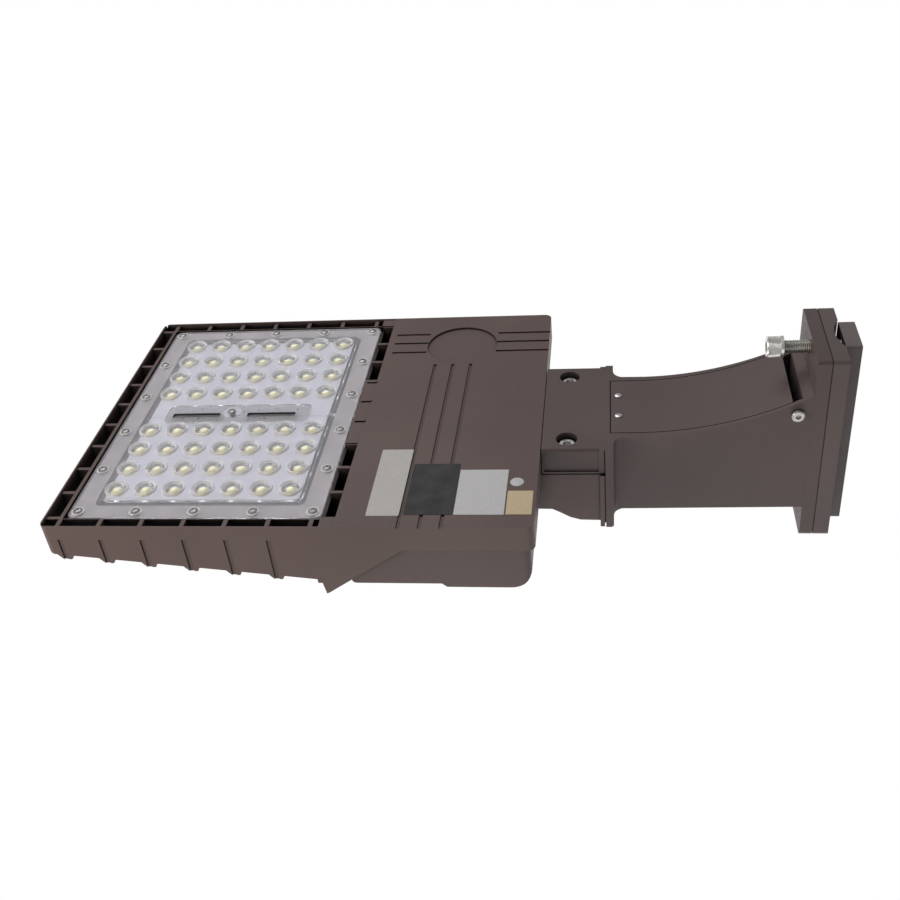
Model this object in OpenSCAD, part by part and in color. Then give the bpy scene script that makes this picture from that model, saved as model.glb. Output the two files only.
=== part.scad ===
// Shoebox area light on a square-pole arm. Millimetres, +Z up as it hangs in use.
// Origin: centre of the pole mounting face. The arm and the head run along +X, the lenses face -Z.

/* [Pole mount] */
// Width of the arm's pole plate and of the pole adapter
plate_w = 80; // [76:1:100]
// Distance from a pole bolt to the end of the plate and of the adapter
plate_edge = 10.85; // [9:0.05:20]
// Thickness of the arm's pole plate
plate_t = 9.9; // [7:0.1:14]
// Thickness of the pole adapter
adapter_t = 12.4; // [9:0.1:18]
// Radius of the round-pole seat in the adapter
seat_r = 38; // [36:0.5:45]
// Depth of the round-pole seat
seat_depth = 5.2; // [3:0.1:6.5]
// Width of the backing bar that goes inside the pole
bar_w = 37.5; // [34:0.5:48]
// How much shorter the backing bar is than the plate, each end
bar_inset = 0.75; // [0:0.05:2]
// Thickness of the backing bar
bar_t = 11.8; // [8:0.1:16]
// Corner radius of the plate and the adapter
plate_corner = 3; // [1:0.5:6]
// Width of the drafted step that shows as a seam between adapter and plate
seam_step = 0.8; // [0.4:0.1:1.2]
// Radius of the wire hole through plate and adapter
wire_hole_r = 14; // [8:0.5:17]

/* [Pole bolts] */
// Distance between the two pole bolts
bolt_spacing = 139.8; // [136:0.2:142]
// Shank diameter of a pole bolt
bolt_d = 10; // [8:0.5:12]
// Shank length of a pole bolt
bolt_len = 55; // [50:1:60]
// Head diameter of a pole bolt
bolt_head_d = 16; // [13:0.5:18]
// Head height of a pole bolt
bolt_head_h = 10; // [8:0.5:12]
// Key socket across flats
bolt_socket_af = 8; // [5:0.5:9]
// Thickness of the lock washer under a pole bolt's head
washer_t = 2.2; // [1.5:0.1:3]
// How far the pole bolts stand backed out, plate to washer
bolt_backout = 19; // [0:0.5:22]

/* [Arm] */
// Clear run of the arm from pole plate to head flange
arm_run = 145.3; // [130:0.5:200]
// Width of the arm where it meets the head flange
arm_w_head = 86; // [84:0.5:96]
// Width of the arm where it meets the pole plate
arm_w_pole = 79.4; // [76:0.2:79.6]
// Height of the arm's straight top above the origin
arm_top = 52.5; // [48:0.5:56]
// Radius of the arm's curved underside
arm_arc_r = 263; // [240:1:320]
// Flat length of the underside next to the head flange
arm_flat = 17.6; // [10:0.2:26]
// Thickness of the arm's top and end walls
arm_wall = 4; // [3:0.1:6]
// Thickness of the curved arm cover
arm_cover_t = 2.5; // [1.5:0.1:4]
// Width of the curved arm cover
arm_cover_w = 72.8; // [70:0.2:74]
// Gap round the edges of the curved arm cover
arm_cover_gap = 0.8; // [0.3:0.1:1]
// Seat under each edge of the arm cover
arm_ledge = 4; // [2.5:0.1:6]
// Open slot between the arm cover and the pole plate's web
arm_slot = 7; // [4:0.5:10]
// Thickness of the web behind the pole plate
arm_web = 7.2; // [5:0.1:9]
// Bevel on the arm's long top edges
arm_edge = 5; // [2:0.5:6]
// Shank diameter of the ground screw
ground_d = 6; // [4:0.5:6]
// Drop of the ground screw below the lens side
ground_drop = 17; // [14:0.5:20]

/* [Neck joint] */
// Width of the neck, the flange and the tongue
neck_w = 118; // [110:1:130]
// Length of the neck between the arm flange and the head
neck_len = 44.9; // [42:0.1:60]
// Thickness of the arm's head flange
flange_t = 10; // [7:0.1:14]
// How much wider the flange is than the neck, each side
flange_lip = 1.5; // [0.5:0.1:3]
// Thickness of the head's own lip at the arm's flange
neck_lip = 3; // [2:0.5:4]
// Width of the open joint between the two flanges
neck_gap = 0.9; // [0.5:0.1:1.5]
// Depth of that joint
neck_gap_depth = 2.5; // [1.5:0.5:4]
// Radius of the fillets between arm and flange
flange_fillet = 9; // [5:0.5:11]
// Height of the flange's top above the origin
flange_top = 55.6; // [54:0.2:60]
// Height of the tongue that carries the head
tongue_t = 22; // [20:0.5:24]
// Thickness of the neck gasket
neck_gasket_t = 1.2; // [0.8:0.1:2]
// Height of the neck's top at the flange, above the origin
neck_top = 49.7; // [48:0.1:53]
// Height of the neck's top at the head, above the origin
neck_root_top = 38.2; // [36:0.1:44]
// Distance between the two neck bolts
neck_bolt_spacing = 88; // [76:0.5:90]
// Shank diameter of a neck bolt
neck_bolt_d = 8; // [6:0.5:8]
// Shank length of a neck bolt
neck_bolt_len = 33; // [28:1:34]
// Depth of the counterbore over a neck bolt
neck_cbore_depth = 12.5; // [11:0.5:13.5]

/* [Head] */
// Length of the head
head_len = 367.5; // [360:0.5:400]
// Width of the head
head_w = 300; // [296:1:330]
// Drop of the head's lens side below the origin
face_drop = 18.5; // [17:0.1:20]
// Plan corner radius of the head
head_corner = 6; // [3:0.5:10]
// Height of the side wall at the nose
nose_h = 26.5; // [24:0.5:30]
// Height of the side wall where the cooling slope ends
slope_h = 50.2; // [48:0.1:54]
// Height of the crest's tip
crest_h = 64.1; // [62:0.1:70]
// Distance from the head's pole end to the crest's tip
crest_run = 156.5; // [155:0.1:158]
// Height of the seam under the driver cover
seam_h = 21.1; // [20:0.1:23]
// Length of the level part of that seam
seam_run = 95.3; // [90:0.1:100]
// Thickness of the rim round the cooling area
rim_t = 2.6; // [2.2:0.1:3.5]
// Thickness of these walls at their thin lens-side edge
rim_edge = 1.2; // [1:0.1:1.8]
// Thickness of the driver tray's walls
tray_wall = 6; // [5.5:0.1:8]
// Thickness of the lens-side face of the driver tray
face_t = 3.2; // [2.5:0.1:4]
// Length of the driver tray's face
tray_run = 143.5; // [140:0.5:148]

/* [Cooling body] */
// Air slot along both sides
side_gap = 8.9; // [7:0.1:12]
// Air slot along the nose
nose_gap = 11.9; // [8:0.1:14]
// Air slots between the cooling body and the driver tray
rear_gap = 10; // [8:0.1:12]
// Thickness of the plate that carries the LED boards
base_t = 5; // [4:0.1:7]
// Depth of that plate's lens side behind the rim
base_depth = 6; // [5.8:0.1:6.6]
// Pitch of the cross fins
fin_pitch_x = 32.2; // [31:0.1:33]
// Thickness of the cross fins
fin_t_x = 3.4; // [2.5:0.1:4.5]
// How far the cross fins stand above the side wall
fin_bump = 4; // [3:0.1:5]
// Width of a cross fin's end pad in the side wall
pad_w = 13; // [10:0.5:15]
// Pitch of the long ribs
rib_pitch_y = 30.6; // [29:0.1:31]
// Thickness of the long ribs
rib_t_y = 3; // [2:0.1:4]
// Thickness of the thin fins between the long ribs
thin_t = 2; // [1.5:0.1:2.5]

/* [Optic] */
// Margin of the lens plate inside the cooling plate
lens_margin = 1.75; // [1:0.05:2.5]
// Thickness of the lens plate's flange
lens_t = 3; // [2.5:0.1:3.4]
// Width of the flange round the raised field
lens_flange = 17.8; // [15:0.1:18]
// Rise of the raised field
field_rise = 2; // [1.5:0.1:2.5]
// Length of the sunk strip between the two halves of the field
strip_l = 123; // [110:1:126]
// Depth of that strip
strip_depth = 0.8; // [0.3:0.1:1]
// Place of the two slots across the plate
slot_y = -4.4; // [-5:0.1:-4.2]
// LED pitch along the head
led_px = 22.87; // [21:0.01:23]
// LED pitch across the head
led_py = 26.15; // [22:0.01:26.2]
// Distance between the two inner LED rows
led_mid = 53.7; // [48:0.1:54]
// Diameter of one lens
dome_d = 19.6; // [15:0.1:20.4]
// Height of one lens
dome_h = 3.6; // [2:0.1:5]
// Inset of the lens screws from the plate's edge
screw_inset = 7; // [5.5:0.1:8]
// Shank diameter of a lens screw
screw_d = 4; // [3:0.1:4]
// Head diameter of a lens screw
screw_head_d = 8; // [6:0.1:8.5]
// Thickness of the LED boards
board_t = 1.6; // [1:0.1:2]
// Thickness of the LED packages
chip_t = 0.8; // [0.5:0.1:1]
// Side of an LED package
chip_s = 5; // [3:0.1:5.4]

/* [Driver bay] */
// Thickness of the driver cover
cover_t = 2.5; // [2:0.1:3]
// Set-back of the cover from the tray's outside
cover_inset = 3.5; // [3:0.1:4]
// Height of the cover's front deck above the lens side
cover_low_h = 56.3; // [55:0.1:58]
// Height of the cover's raised rear deck
cover_high_h = 59.5; // [58.5:0.1:61]
// Distance from the pole end to the step between the decks
cover_step_run = 68.5; // [60:0.5:80]
// Round of the cover's pole end
cover_round = 16; // [10:0.5:18]
// Thickness of the cover gasket
gasket_t = 1.2; // [0.8:0.1:1.6]
// Width of the surge protector beside the driver
surge_w = 32; // [26:0.5:36]
// Length of the driver's fixing ears
ear_l = 13; // [12:0.5:14]
// Inset of the cover screws' posts from the head's sides
post_inset = 17; // [15:0.5:19]
// Radius of those posts
post_r = 4.5; // [4:0.1:5]
// Width of the LED driver's case
driver_w = 67; // [55:0.5:68]
// Height of the LED driver's case
driver_h = 37; // [30:0.5:40]
// Diameter of the recess in the lens-side face
recess_d = 61.3; // [50:0.5:62]

/* [Fits] */
// Radial clearance of a shank in a tapped hole
fit_tap = 0.06; // [0.04:0.01:0.1]
// Radial clearance of a shank in a through hole
fit_hole = 0.5; // [0.3:0.05:0.8]
// Gap between parts that drop into a recess
fit_gap = 0.4; // [0.2:0.05:0.6]
// Gap between the cases in the driver bay
bay_gap = 2; // [1.5:0.1:3]

/* [Hidden] */
$fn = 48;
eps = 0.01;
bronze = [0.27, 0.22, 0.2];
steel = [0.78, 0.78, 0.76];

// Pole stack
plate_h = bolt_spacing + 2 * plate_edge;
bar_h = plate_h - 2 * bar_inset;
// Places along X
x_plate = adapter_t + plate_t;
x_fl0 = x_plate + arm_run;
x_fl1 = x_fl0 + flange_t;
x_head = x_fl1 + neck_len;
x_lip = x_fl1 - neck_lip;
x_joint = x_lip - neck_gap;
top_fillet = max(0.6, min(flange_fillet - 2, flange_top - arm_top - 0.5));
x_nose = x_head + head_len;
x_crest = x_head + crest_run;
x_seam = x_head + seam_run;
x_tray = x_head + tray_run;
x_base0 = x_tray + rear_gap;
x_base1 = x_nose - rim_t - nose_gap;
// Heights
z_face = -face_drop;
z_base = z_face + base_depth;
z_base_top = z_base + base_t;
z_crest = z_face + crest_h;
z_slope = z_face + slope_h;
z_nose = z_face + nose_h;
z_seam = z_face + seam_h;
z_tongue = z_face + tongue_t;
z_neck = z_tongue + neck_gasket_t;
// Cooling body and optic
base_l = x_base1 - x_base0;
base_w = head_w - 2 * (rim_t + side_gap);
lens_l = base_l - 2 * lens_margin;
lens_w = base_w - 2 * lens_margin;
lens_cx = (x_base0 + x_base1) / 2;
gasket_lens_t = 1.2;
z_lens_back = z_base - gasket_lens_t;
z_lens = z_lens_back - lens_t;
crest_foot = 3.2;
x_foot = x_crest + crest_foot;
fin_cx = x_foot + 1.2 + 3 * fin_pitch_x;
// LEDs that the raised field has room for, counted from its middle
led_nx = floor((lens_l / 2 - lens_flange - dome_d / 2 - 1) / led_px);
led_ny = floor((lens_w / 2 - lens_flange - dome_d / 2 - 1 - led_mid / 2) / led_py);
row_y = [for (i = [0:led_ny]) led_mid / 2 + i * led_py];
// Long ribs that fit between the side walls, and cross fins between the crest and the nose
rib_n = floor((head_w / 2 - rim_t - 8) / rib_pitch_y - 0.5) + 0.5;

// Height of the sloping wall top, and of the diagonal behind the crest
function slope_z(x) = z_slope + (z_nose - z_slope) * (x - x_foot) / (x_nose - x_foot);
diag_k = (z_crest - z_seam) / (x_crest - x_seam);
function diag_z(x) = z_crest - diag_k * (x_crest - x);
// Points of an arc in the XZ plane
function arc(cx, cz, r, a0, a1, n) =
    [for (i = [0:n]) [cx + r * cos(a0 + (a1 - a0) * i / n), cz + r * sin(a0 + (a1 - a0) * i / n)]];

// A plan rectangle with round corners
module rrect(x0, x1, y0, y1, r) {
    translate([x0 + r, y0]) square([x1 - x0 - 2 * r, y1 - y0]);
    translate([x0, y0 + r]) square([x1 - x0, y1 - y0 - 2 * r]);
    for (x = [x0 + r, x1 - r], y = [y0 + r, y1 - r]) translate([x, y]) circle(r);
}
// An XZ outline carried across Y
module across(y0, y1) {
    translate([0, y1, 0]) rotate([90, 0, 0]) linear_extrude(y1 - y0) children();
}
// A box given by its limits
module span(x0, x1, y0, y1, z0, z1) {
    translate([x0, y0, z0]) cube([x1 - x0, y1 - y0, z1 - z0]);
}
// A rod along X
module rod_x(x0, x1, r) {
    translate([x0, 0, 0]) rotate([0, 90, 0]) cylinder(r = r, h = x1 - x0);
}
// A socket head cap screw: shank along -X from the origin, head along +X
module cap_screw(d, len, head_d, head_h, af) {
    rod_x(-len, eps, d / 2);
    difference() {
        union() {
            rod_x(0, head_h - 0.8, head_d / 2);
            translate([head_h - 0.8 - eps, 0, 0]) rotate([0, 90, 0])
                cylinder(r1 = head_d / 2, r2 = head_d / 2 - 0.8, h = 0.8 + eps);
        }
        translate([head_h / 2, 0, 0]) rotate([0, 90, 0])
            cylinder(r = af / 2 / cos(30), h = head_h, $fn = 6);
    }
}
// A pan head screw pointing +Z from the origin, head below
module pan_screw(d, len, head_d, head_h) {
    translate([0, 0, -eps]) cylinder(r = d / 2, h = len + eps);
    difference() {
        intersection() {
            translate([0, 0, -head_h]) cylinder(r = head_d / 2, h = head_h);
            translate([0, 0, head_d - head_h]) sphere(head_d);
        }
        for (a = [0, 90]) rotate(a) span(-head_d * 0.3, head_d * 0.3, -0.5, 0.5, -head_h - 1, -head_h * 0.55);
    }
}

// ---- Head housing -------------------------------------------------------
// Side outline of the housing: nose, cooling slope, crest, diagonal, level seam
module head_outline() {
    r = 5;
    polygon(concat(
        [[x_head, z_face], [x_nose, z_face]],
        arc(x_nose - r, z_nose - r, r, 0, 83, 6),
        [[x_foot, z_slope], [x_crest + 0.8, z_crest], [x_crest - 0.8, diag_z(x_crest - 0.8)],
         [x_seam, z_seam], [x_head, z_seam]]));
}
// Crest deck: the folded edge that the driver cover's front edge seats on. It is kept
// whole where the hollows are cut, so its outline runs above the housing's own.
module crest_outline() {
    t = 3.4;
    polygon([[x_tray - 14, z_crest + 4], [x_foot, z_crest + 4], [x_foot, z_slope], [x_foot - 3, z_slope],
             [x_crest - 1.8, z_crest - 5], [x_tray, diag_z(x_tray) - t],
             [x_tray - 3.5, diag_z(x_tray - 3.5) - t], [x_tray - 14, diag_z(x_tray - 14) - t]]);
}
module long_rib(y, t, x0, x1) {
    drop = 2;
    across(y - t / 2, y + t / 2)
        polygon([[x0, z_face + 1.5], [x1, z_face + 1.5], [x1, slope_z(x1) - drop],
                 [x_foot, slope_z(x_foot) - drop], [x0, slope_z(x_foot) - drop]]);
}
module cross_fin(x) {
    span(x - fin_t_x / 2, x + fin_t_x / 2, -head_w / 2 + rim_edge / 2, head_w / 2 - rim_edge / 2,
         z_face + 1.5, slope_z(x) + fin_bump);
}
// Pad where a cross fin runs out through the side wall
module fin_pad(x, s) {
    translate([0, s * (head_w / 2 - rim_t / 2), 0])
        across(-rim_t / 2, rim_t / 2)
            polygon([[x - pad_w / 2, z_face + 10], [x + pad_w / 2, z_face + 10],
                     [x + pad_w / 2, slope_z(x + pad_w / 2) - 1], [x + pad_w / 2 - 1.5, slope_z(x + pad_w / 2) + 1],
                     [x + 2, slope_z(x) + fin_bump - 0.3], [x - pad_w / 2 + 2, slope_z(x) + fin_bump - 0.3],
                     [x - pad_w / 2, slope_z(x - pad_w / 2) - 1]]);
}
module neck_outline(t) {
    polygon([[x_fl1 - (t > 0 ? 1 : 0), z_neck - t], [x_fl1 - (t > 0 ? 1 : 0), neck_top - t],
             [x_fl1 + 16 - t / 2, neck_top - 0.4 - t], [x_fl1 + 24 - t / 2, neck_top - 3 - t],
             [x_fl1 + 32 - t / 2, neck_top - 8 - t], [x_fl1 + 38 - t / 2, neck_root_top + 0.3 - t],
             [x_head + (t > 0 ? -t : tray_wall), neck_root_top - t], [x_head + (t > 0 ? -t : tray_wall), z_neck - t]]);
}
// Places of the screws that hold the driver cover
cover_screw_at = [
    for (s = [-1, 1]) [x_head + 26, s * (head_w / 2 - post_inset)],
    for (s = [-1, 1]) [x_head + 58, s * (head_w / 2 - post_inset)],
    for (s = [-1, 1]) [x_head + 124, s * (head_w / 2 - post_inset)]
];
cover_screw_len = 14;
function deck_z(x) = z_face + (x < x_head + cover_step_run ? cover_high_h : cover_low_h);
// Places of the screws round the lens plate
lens_screw_at = concat(
    [for (i = [-2:2], s = [-1, 1]) [lens_cx + i * (lens_l / 2 - screw_inset) / 2, s * (lens_w / 2 - screw_inset)]],
    [for (j = [-3:2:3], s = [-1, 1])
        [lens_cx + s * (lens_l / 2 - screw_inset), j * (lens_w / 2 - screw_inset) / 5]],
    [[lens_cx + 6, -1]]);
neck_bolt_x = x_fl1 + 25.4;
gland_z = z_face + 34.5;
module rounds_xy(x, y, r, z0, z1) {
    translate([x, y, z0]) cylinder(r = r, h = z1 - z0);
}
driver_x = x_head + 62;
// The bay from side to side: post, surge protector, ear, driver, ear, post
bay_y = head_w / 2 - post_inset - post_r;
surge_y0 = -bay_y + bay_gap + 0.5;
driver_y0 = surge_y0 + surge_w + bay_gap + ear_l;
driver_y1 = bay_y - bay_gap - 2.5 - ear_l;
driver_l = driver_y1 - driver_y0;
driver_y = (driver_y0 + driver_y1) / 2;
driver_screw_at = [for (s = [-1, 1]) [driver_x, driver_y + s * (driver_l / 2 + ear_l - 6)]];

module head_housing() color(bronze) difference() {
    union() {
        // Shell: plan outline times side outline, hollowed for cooling body and driver tray
        difference() {
            intersection() {
                translate([0, 0, z_face]) linear_extrude(crest_h + 5)
                    rrect(x_head, x_nose, -head_w / 2, head_w / 2, head_corner);
                across(-head_w, head_w) head_outline();
            }
            difference() {
                union() {
                    span(x_tray, x_nose - rim_t, -head_w / 2 + rim_t, head_w / 2 - rim_t, z_face + 5, z_crest + 1);
                    hull() {
                        span(x_tray, x_nose - rim_edge, -head_w / 2 + rim_edge, head_w / 2 - rim_edge, z_face - 1, z_face);
                        span(x_tray, x_nose - rim_t, -head_w / 2 + rim_t, head_w / 2 - rim_t, z_face + 6, z_face + 7);
                    }
                    span(x_head + tray_wall, x_tray - 3.5, -head_w / 2 + tray_wall, head_w / 2 - tray_wall,
                         z_face + face_t, z_crest + 1);
                }
                across(-head_w, head_w) crest_outline();
            }
        }
        // Plate that carries the LED boards, and the solid bridge to the driver tray
        span(x_base0, x_base1, -base_w / 2, base_w / 2, z_base, z_base_top);
        span(x_tray - 1, x_base0 + 1, -1.5 * rib_pitch_y, 1.5 * rib_pitch_y, z_face + 0.6, z_base_top);
        span(x_tray - 1, x_base0 + 1, -head_w / 2 + rim_edge / 2, -rib_n * rib_pitch_y, z_face + 0.6, z_base_top);
        span(x_tray - 1, x_base0 + 1, rib_n * rib_pitch_y, head_w / 2 - rim_edge / 2, z_face + 0.6, z_base_top);
        // Long ribs that bridge the nose slot, with thin fins between them
        for (i = [-rib_n:rib_n]) long_rib(i * rib_pitch_y, rib_t_y, x_tray - 1, x_nose - rim_edge / 2);
        for (i = [0.5 - rib_n:rib_n - 0.5]) long_rib(i * rib_pitch_y, thin_t, x_base0 + 3, x_base1 - 3);
        // Cross fins that run out through both side walls
        for (i = [-3:3]) cross_fin(fin_cx + i * fin_pitch_x);
        for (i = [-2:3], s = [-1, 1]) fin_pad(fin_cx + i * fin_pitch_x, s);
        // Lip at the neck's end, against the arm's flange
        difference() {
            span(x_lip, x_fl1 + 0.5, -neck_w / 2 - flange_lip, neck_w / 2 + flange_lip, z_neck + 0.3, flange_top - 0.6);
            span(x_lip - 1, x_fl1 + 1, -neck_w / 2 + arm_wall, neck_w / 2 - arm_wall, z_neck - 1, neck_top - 3.5);
        }
        // Neck box over the arm's tongue
        difference() {
            across(-neck_w / 2, neck_w / 2) neck_outline(0);
            across(-neck_w / 2 + arm_wall, neck_w / 2 - arm_wall) neck_outline(3.5);
        }
        span(x_head, x_head + tray_wall, -neck_w / 2 + 0.5, neck_w / 2 - 0.5, z_face + 1, z_neck + 1);
        intersection() {
            across(-neck_w / 2, neck_w / 2) neck_outline(0);
            for (s = [-1, 1]) rounds_xy(neck_bolt_x, s * neck_bolt_spacing / 2, 8.5, z_neck - 1, neck_top);
        }
        // Posts for the cover screws and pads for the driver
        for (p = cover_screw_at) rounds_xy(p[0], p[1], post_r, z_face + face_t - eps, deck_z(p[0]) - cover_t);
        for (p = driver_screw_at) rounds_xy(p[0], p[1], 4.5, z_face + face_t - eps, z_face + face_t + 5);
    }
    // Room for the lens plate, its gasket and the boards
    span(x_base0, x_base1, -base_w / 2, base_w / 2, z_face - 2, z_base);
    // Tapped holes for the lens screws
    for (p = lens_screw_at) rounds_xy(p[0], p[1], screw_d / 2 + fit_tap, z_base - 1, z_base_top - 0.8);
    // Tapped holes in the posts
    for (p = cover_screw_at)
        rounds_xy(p[0], p[1], 2.5 + fit_tap, deck_z(p[0]) - cover_t - cover_screw_len, deck_z(p[0]));
    for (p = driver_screw_at) rounds_xy(p[0], p[1], 2 + fit_tap, z_face + face_t + 0.5, z_face + face_t + 6);
    for (s = [-1, 1])
        rounds_xy(neck_bolt_x, s * neck_bolt_spacing / 2, neck_bolt_d / 2 + fit_tap, z_neck - 1, z_face + neck_cbore_depth + neck_bolt_len + 2);
    // Wire way from the neck into the driver tray, and from the tray to the boards
    translate([0, 0, gland_z]) rod_x(x_head - 12, x_head + tray_wall + 1, 8 + fit_gap);
    translate([0, 0, z_base + 1.6]) rod_x(x_tray - 12, x_base0 + 4, 3);
    span(x_base0 - 1, lens_cx - 51, -3, 3, z_base - 1, z_base + 3.2);
    // Air slots behind those of the lens plate
    for (x = [lens_cx - 28.5, lens_cx + 36]) span(x - 20.5, x + 20.5, slot_y - 1.8, slot_y + 1.8, z_base - 1, z_base_top + 0.5);
    // Grooves in the side walls over the cross fins
    for (i = [-2:3], s = [-1, 1])
        span(fin_cx + i * fin_pitch_x - 1.8, fin_cx + i * fin_pitch_x + 1.8,
             s * head_w / 2 - 1.7, s * head_w / 2 + 1, z_face + 12.4, z_crest);
    // Round recess, its side grooves, and the long grooves of the driver side
    rounds_xy(x_head + 76.4, 99.9, recess_d / 2, z_face - 1, z_face + 1.6);
    for (y = [88.5, 104, 119], k = [0, 1])
        span(k == 0 ? x_head - 1 : x_head + 76.4 + recess_d / 2, k == 0 ? x_head + 76.4 - recess_d / 2 : x_tray - 6,
             y - 1.5, y + 1.5, z_face - 1, z_face + 1);
    for (k = [-1:1])
        span(x_head + 81 + k * 15.4 - 1.4, x_head + 81 + k * 15.4 + 1.4, -head_w / 2 - 1, 68, z_face - 1, z_face + 1);
    for (y = [-16.6, 12.4, 41.4]) span(x_tray - 1, x_base0 - 1.5, y - 1.2, y + 1.2, z_face - 1, z_face + 2);
}

// ---- Driver bay -----------------------------------------------------------
// Side outline of the driver cover, inset by t
module cover_outline(t) {
    xa = x_head + cover_inset + t;
    xe = x_head + tray_run - 4 - t;
    zs = z_seam + gasket_t - (t > 0 ? 4 : 0);
    zh = z_face + cover_high_h - t;
    zl = z_face + cover_low_h - t;
    r = cover_round - t;
    polygon(concat(
        [[xa, zs], [x_seam, zs], [xe, diag_z(xe) + gasket_t - (t > 0 ? 4 : 0)],
         [xe, zl - 2], [xe - 2, zl], [x_head + cover_step_run + 2 - t / 3, zl],
         [x_head + cover_step_run - 2 - t / 3, zh]],
        arc(xa + r, zh - r, r, 90, 180, 10)));
}
module cover_plan(t) {
    rrect(x_head + cover_inset + t, x_head + tray_run - 4 - t, -head_w / 2 + cover_inset + t,
          head_w / 2 - cover_inset - t, head_corner - t);
}
module neck_notch() {
    span(x_head - 1, x_head + tray_wall + fit_gap, -neck_w / 2 - fit_gap, neck_w / 2 + fit_gap, z_face, z_crest);
}
module driver_cover() color(bronze) difference() {
    intersection() {
        translate([0, 0, z_face]) linear_extrude(crest_h) cover_plan(0);
        across(-head_w, head_w) cover_outline(0);
    }
    intersection() {
        translate([0, 0, z_face]) linear_extrude(crest_h) cover_plan(cover_t);
        across(-head_w, head_w) cover_outline(cover_t);
    }
    neck_notch();
    for (p = cover_screw_at) rounds_xy(p[0], p[1], 2.5 + fit_hole, deck_z(p[0]) - 10, deck_z(p[0]) + 1);
    // Shallow cross grooves of the cover's deck
    for (k = [0:2]) span(x_head + 84 + k * 14, x_head + 86 + k * 14, -head_w / 2 + 34, head_w / 2 - 34,
                         z_face + cover_low_h - 0.8, z_face + cover_low_h + 1);
}
module cover_gasket() color([0.2, 0.2, 0.2]) difference() {
    intersection() {
        translate([0, 0, z_face]) linear_extrude(crest_h) difference() {
            cover_plan(0.2);
            cover_plan(cover_t);
        }
        across(-head_w, head_w)
            polygon([[x_head, z_seam], [x_seam, z_seam], [x_tray, diag_z(x_tray)],
                     [x_tray, diag_z(x_tray) + gasket_t], [x_seam, z_seam + gasket_t], [x_head, z_seam + gasket_t]]);
    }
    neck_notch();
}
module cover_screws() color(steel)
    for (p = cover_screw_at) translate([p[0], p[1], deck_z(p[0])]) rotate([180, 0, 0])
        pan_screw(5, cover_screw_len + cover_t - 1, 9.5, 3.2);
module led_driver() color([0.7, 0.7, 0.68]) {
    z0 = z_face + face_t;
    x0 = driver_x - driver_w / 2;
    difference() {
        union() {
            translate([0, 0, z0]) linear_extrude(driver_h)
                rrect(x0, x0 + driver_w, driver_y - driver_l / 2, driver_y + driver_l / 2, 4);
            // Fixing ears
            span(driver_x - 9, driver_x + 9, driver_y0 - ear_l, driver_y1 + ear_l,
                 z0 + 5, z0 + 7);
        }
        for (p = driver_screw_at) rounds_xy(p[0], p[1], 2 + fit_hole, z0, z0 + 12);
        // Two long grooves in the case's lid
        for (k = [-1, 1]) span(driver_x + k * 20 - 2, driver_x + k * 20 + 2, driver_y - driver_l / 2 + 12,
                               driver_y + driver_l / 2 - 12, z0 + driver_h - 1, z0 + driver_h + 1);
    }
}
module driver_screws() color(steel)
    for (p = driver_screw_at) translate([p[0], p[1], z_face + face_t + 7]) rotate([180, 0, 0])
        pan_screw(4, 6, 7.5, 2.6);
module surge_protector() color([0.25, 0.25, 0.27]) {
    translate([0, 0, z_face + face_t]) linear_extrude(24)
        rrect(x_head + 40, x_head + 78, surge_y0, surge_y0 + surge_w, 3);
}
module terminal_block() color([0.88, 0.88, 0.84]) {
    z0 = z_face + face_t;
    x0 = x_head + 9.5;
    difference() {
        union() {
            span(x0, x0 + 16, -52, -22, z0, z0 + 8);
            span(x0 + 3, x0 + 13, -52, -22, z0 + 7, z0 + 17);
        }
        for (y = [-47, -37, -27]) rounds_xy(x0 + 8, y, 2.2, z0 + 10, z0 + 18);
    }
}
module cable_gland() color([0.16, 0.16, 0.16]) translate([0, 0, gland_z]) difference() {
    union() {
        rod_x(x_head - 8, x_head + tray_wall + 3, 8);
        translate([x_head - 3.5 - 5, 0, 0]) rotate([0, 90, 0]) cylinder(r = 10, h = 5, $fn = 6);
        rod_x(x_head + tray_wall + 0.01, x_head + tray_wall + 4, 10.5);
    }
    rod_x(x_head - 20, x_head + tray_wall + 20, 4.5 + fit_tap);
}
// Supply leads: from the splice in the arm through neck and gland to the terminal block's side
module supply_leads() color([0.12, 0.12, 0.12]) {
    translate([0, 0, gland_z]) rod_x(x_fl0 - 60, x_head + tray_wall + 4.5, 4.5);
}
module led_leads() color([0.75, 0.1, 0.08])
    for (s = [-1, 1]) translate([0, s * 1.45, z_base + 1.6]) rod_x(x_tray - 11, lens_cx - 52, 1.3);
module splice_block() color([0.9, 0.9, 0.87]) difference() {
    translate([x_fl0 - 82, 0, gland_z]) span(0, 22, -15, 15, -8, 8);
    for (y = [-9, 0, 9]) translate([0, y, gland_z]) rod_x(x_fl0 - 90, x_fl0 - 76, 2.2);
}

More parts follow.
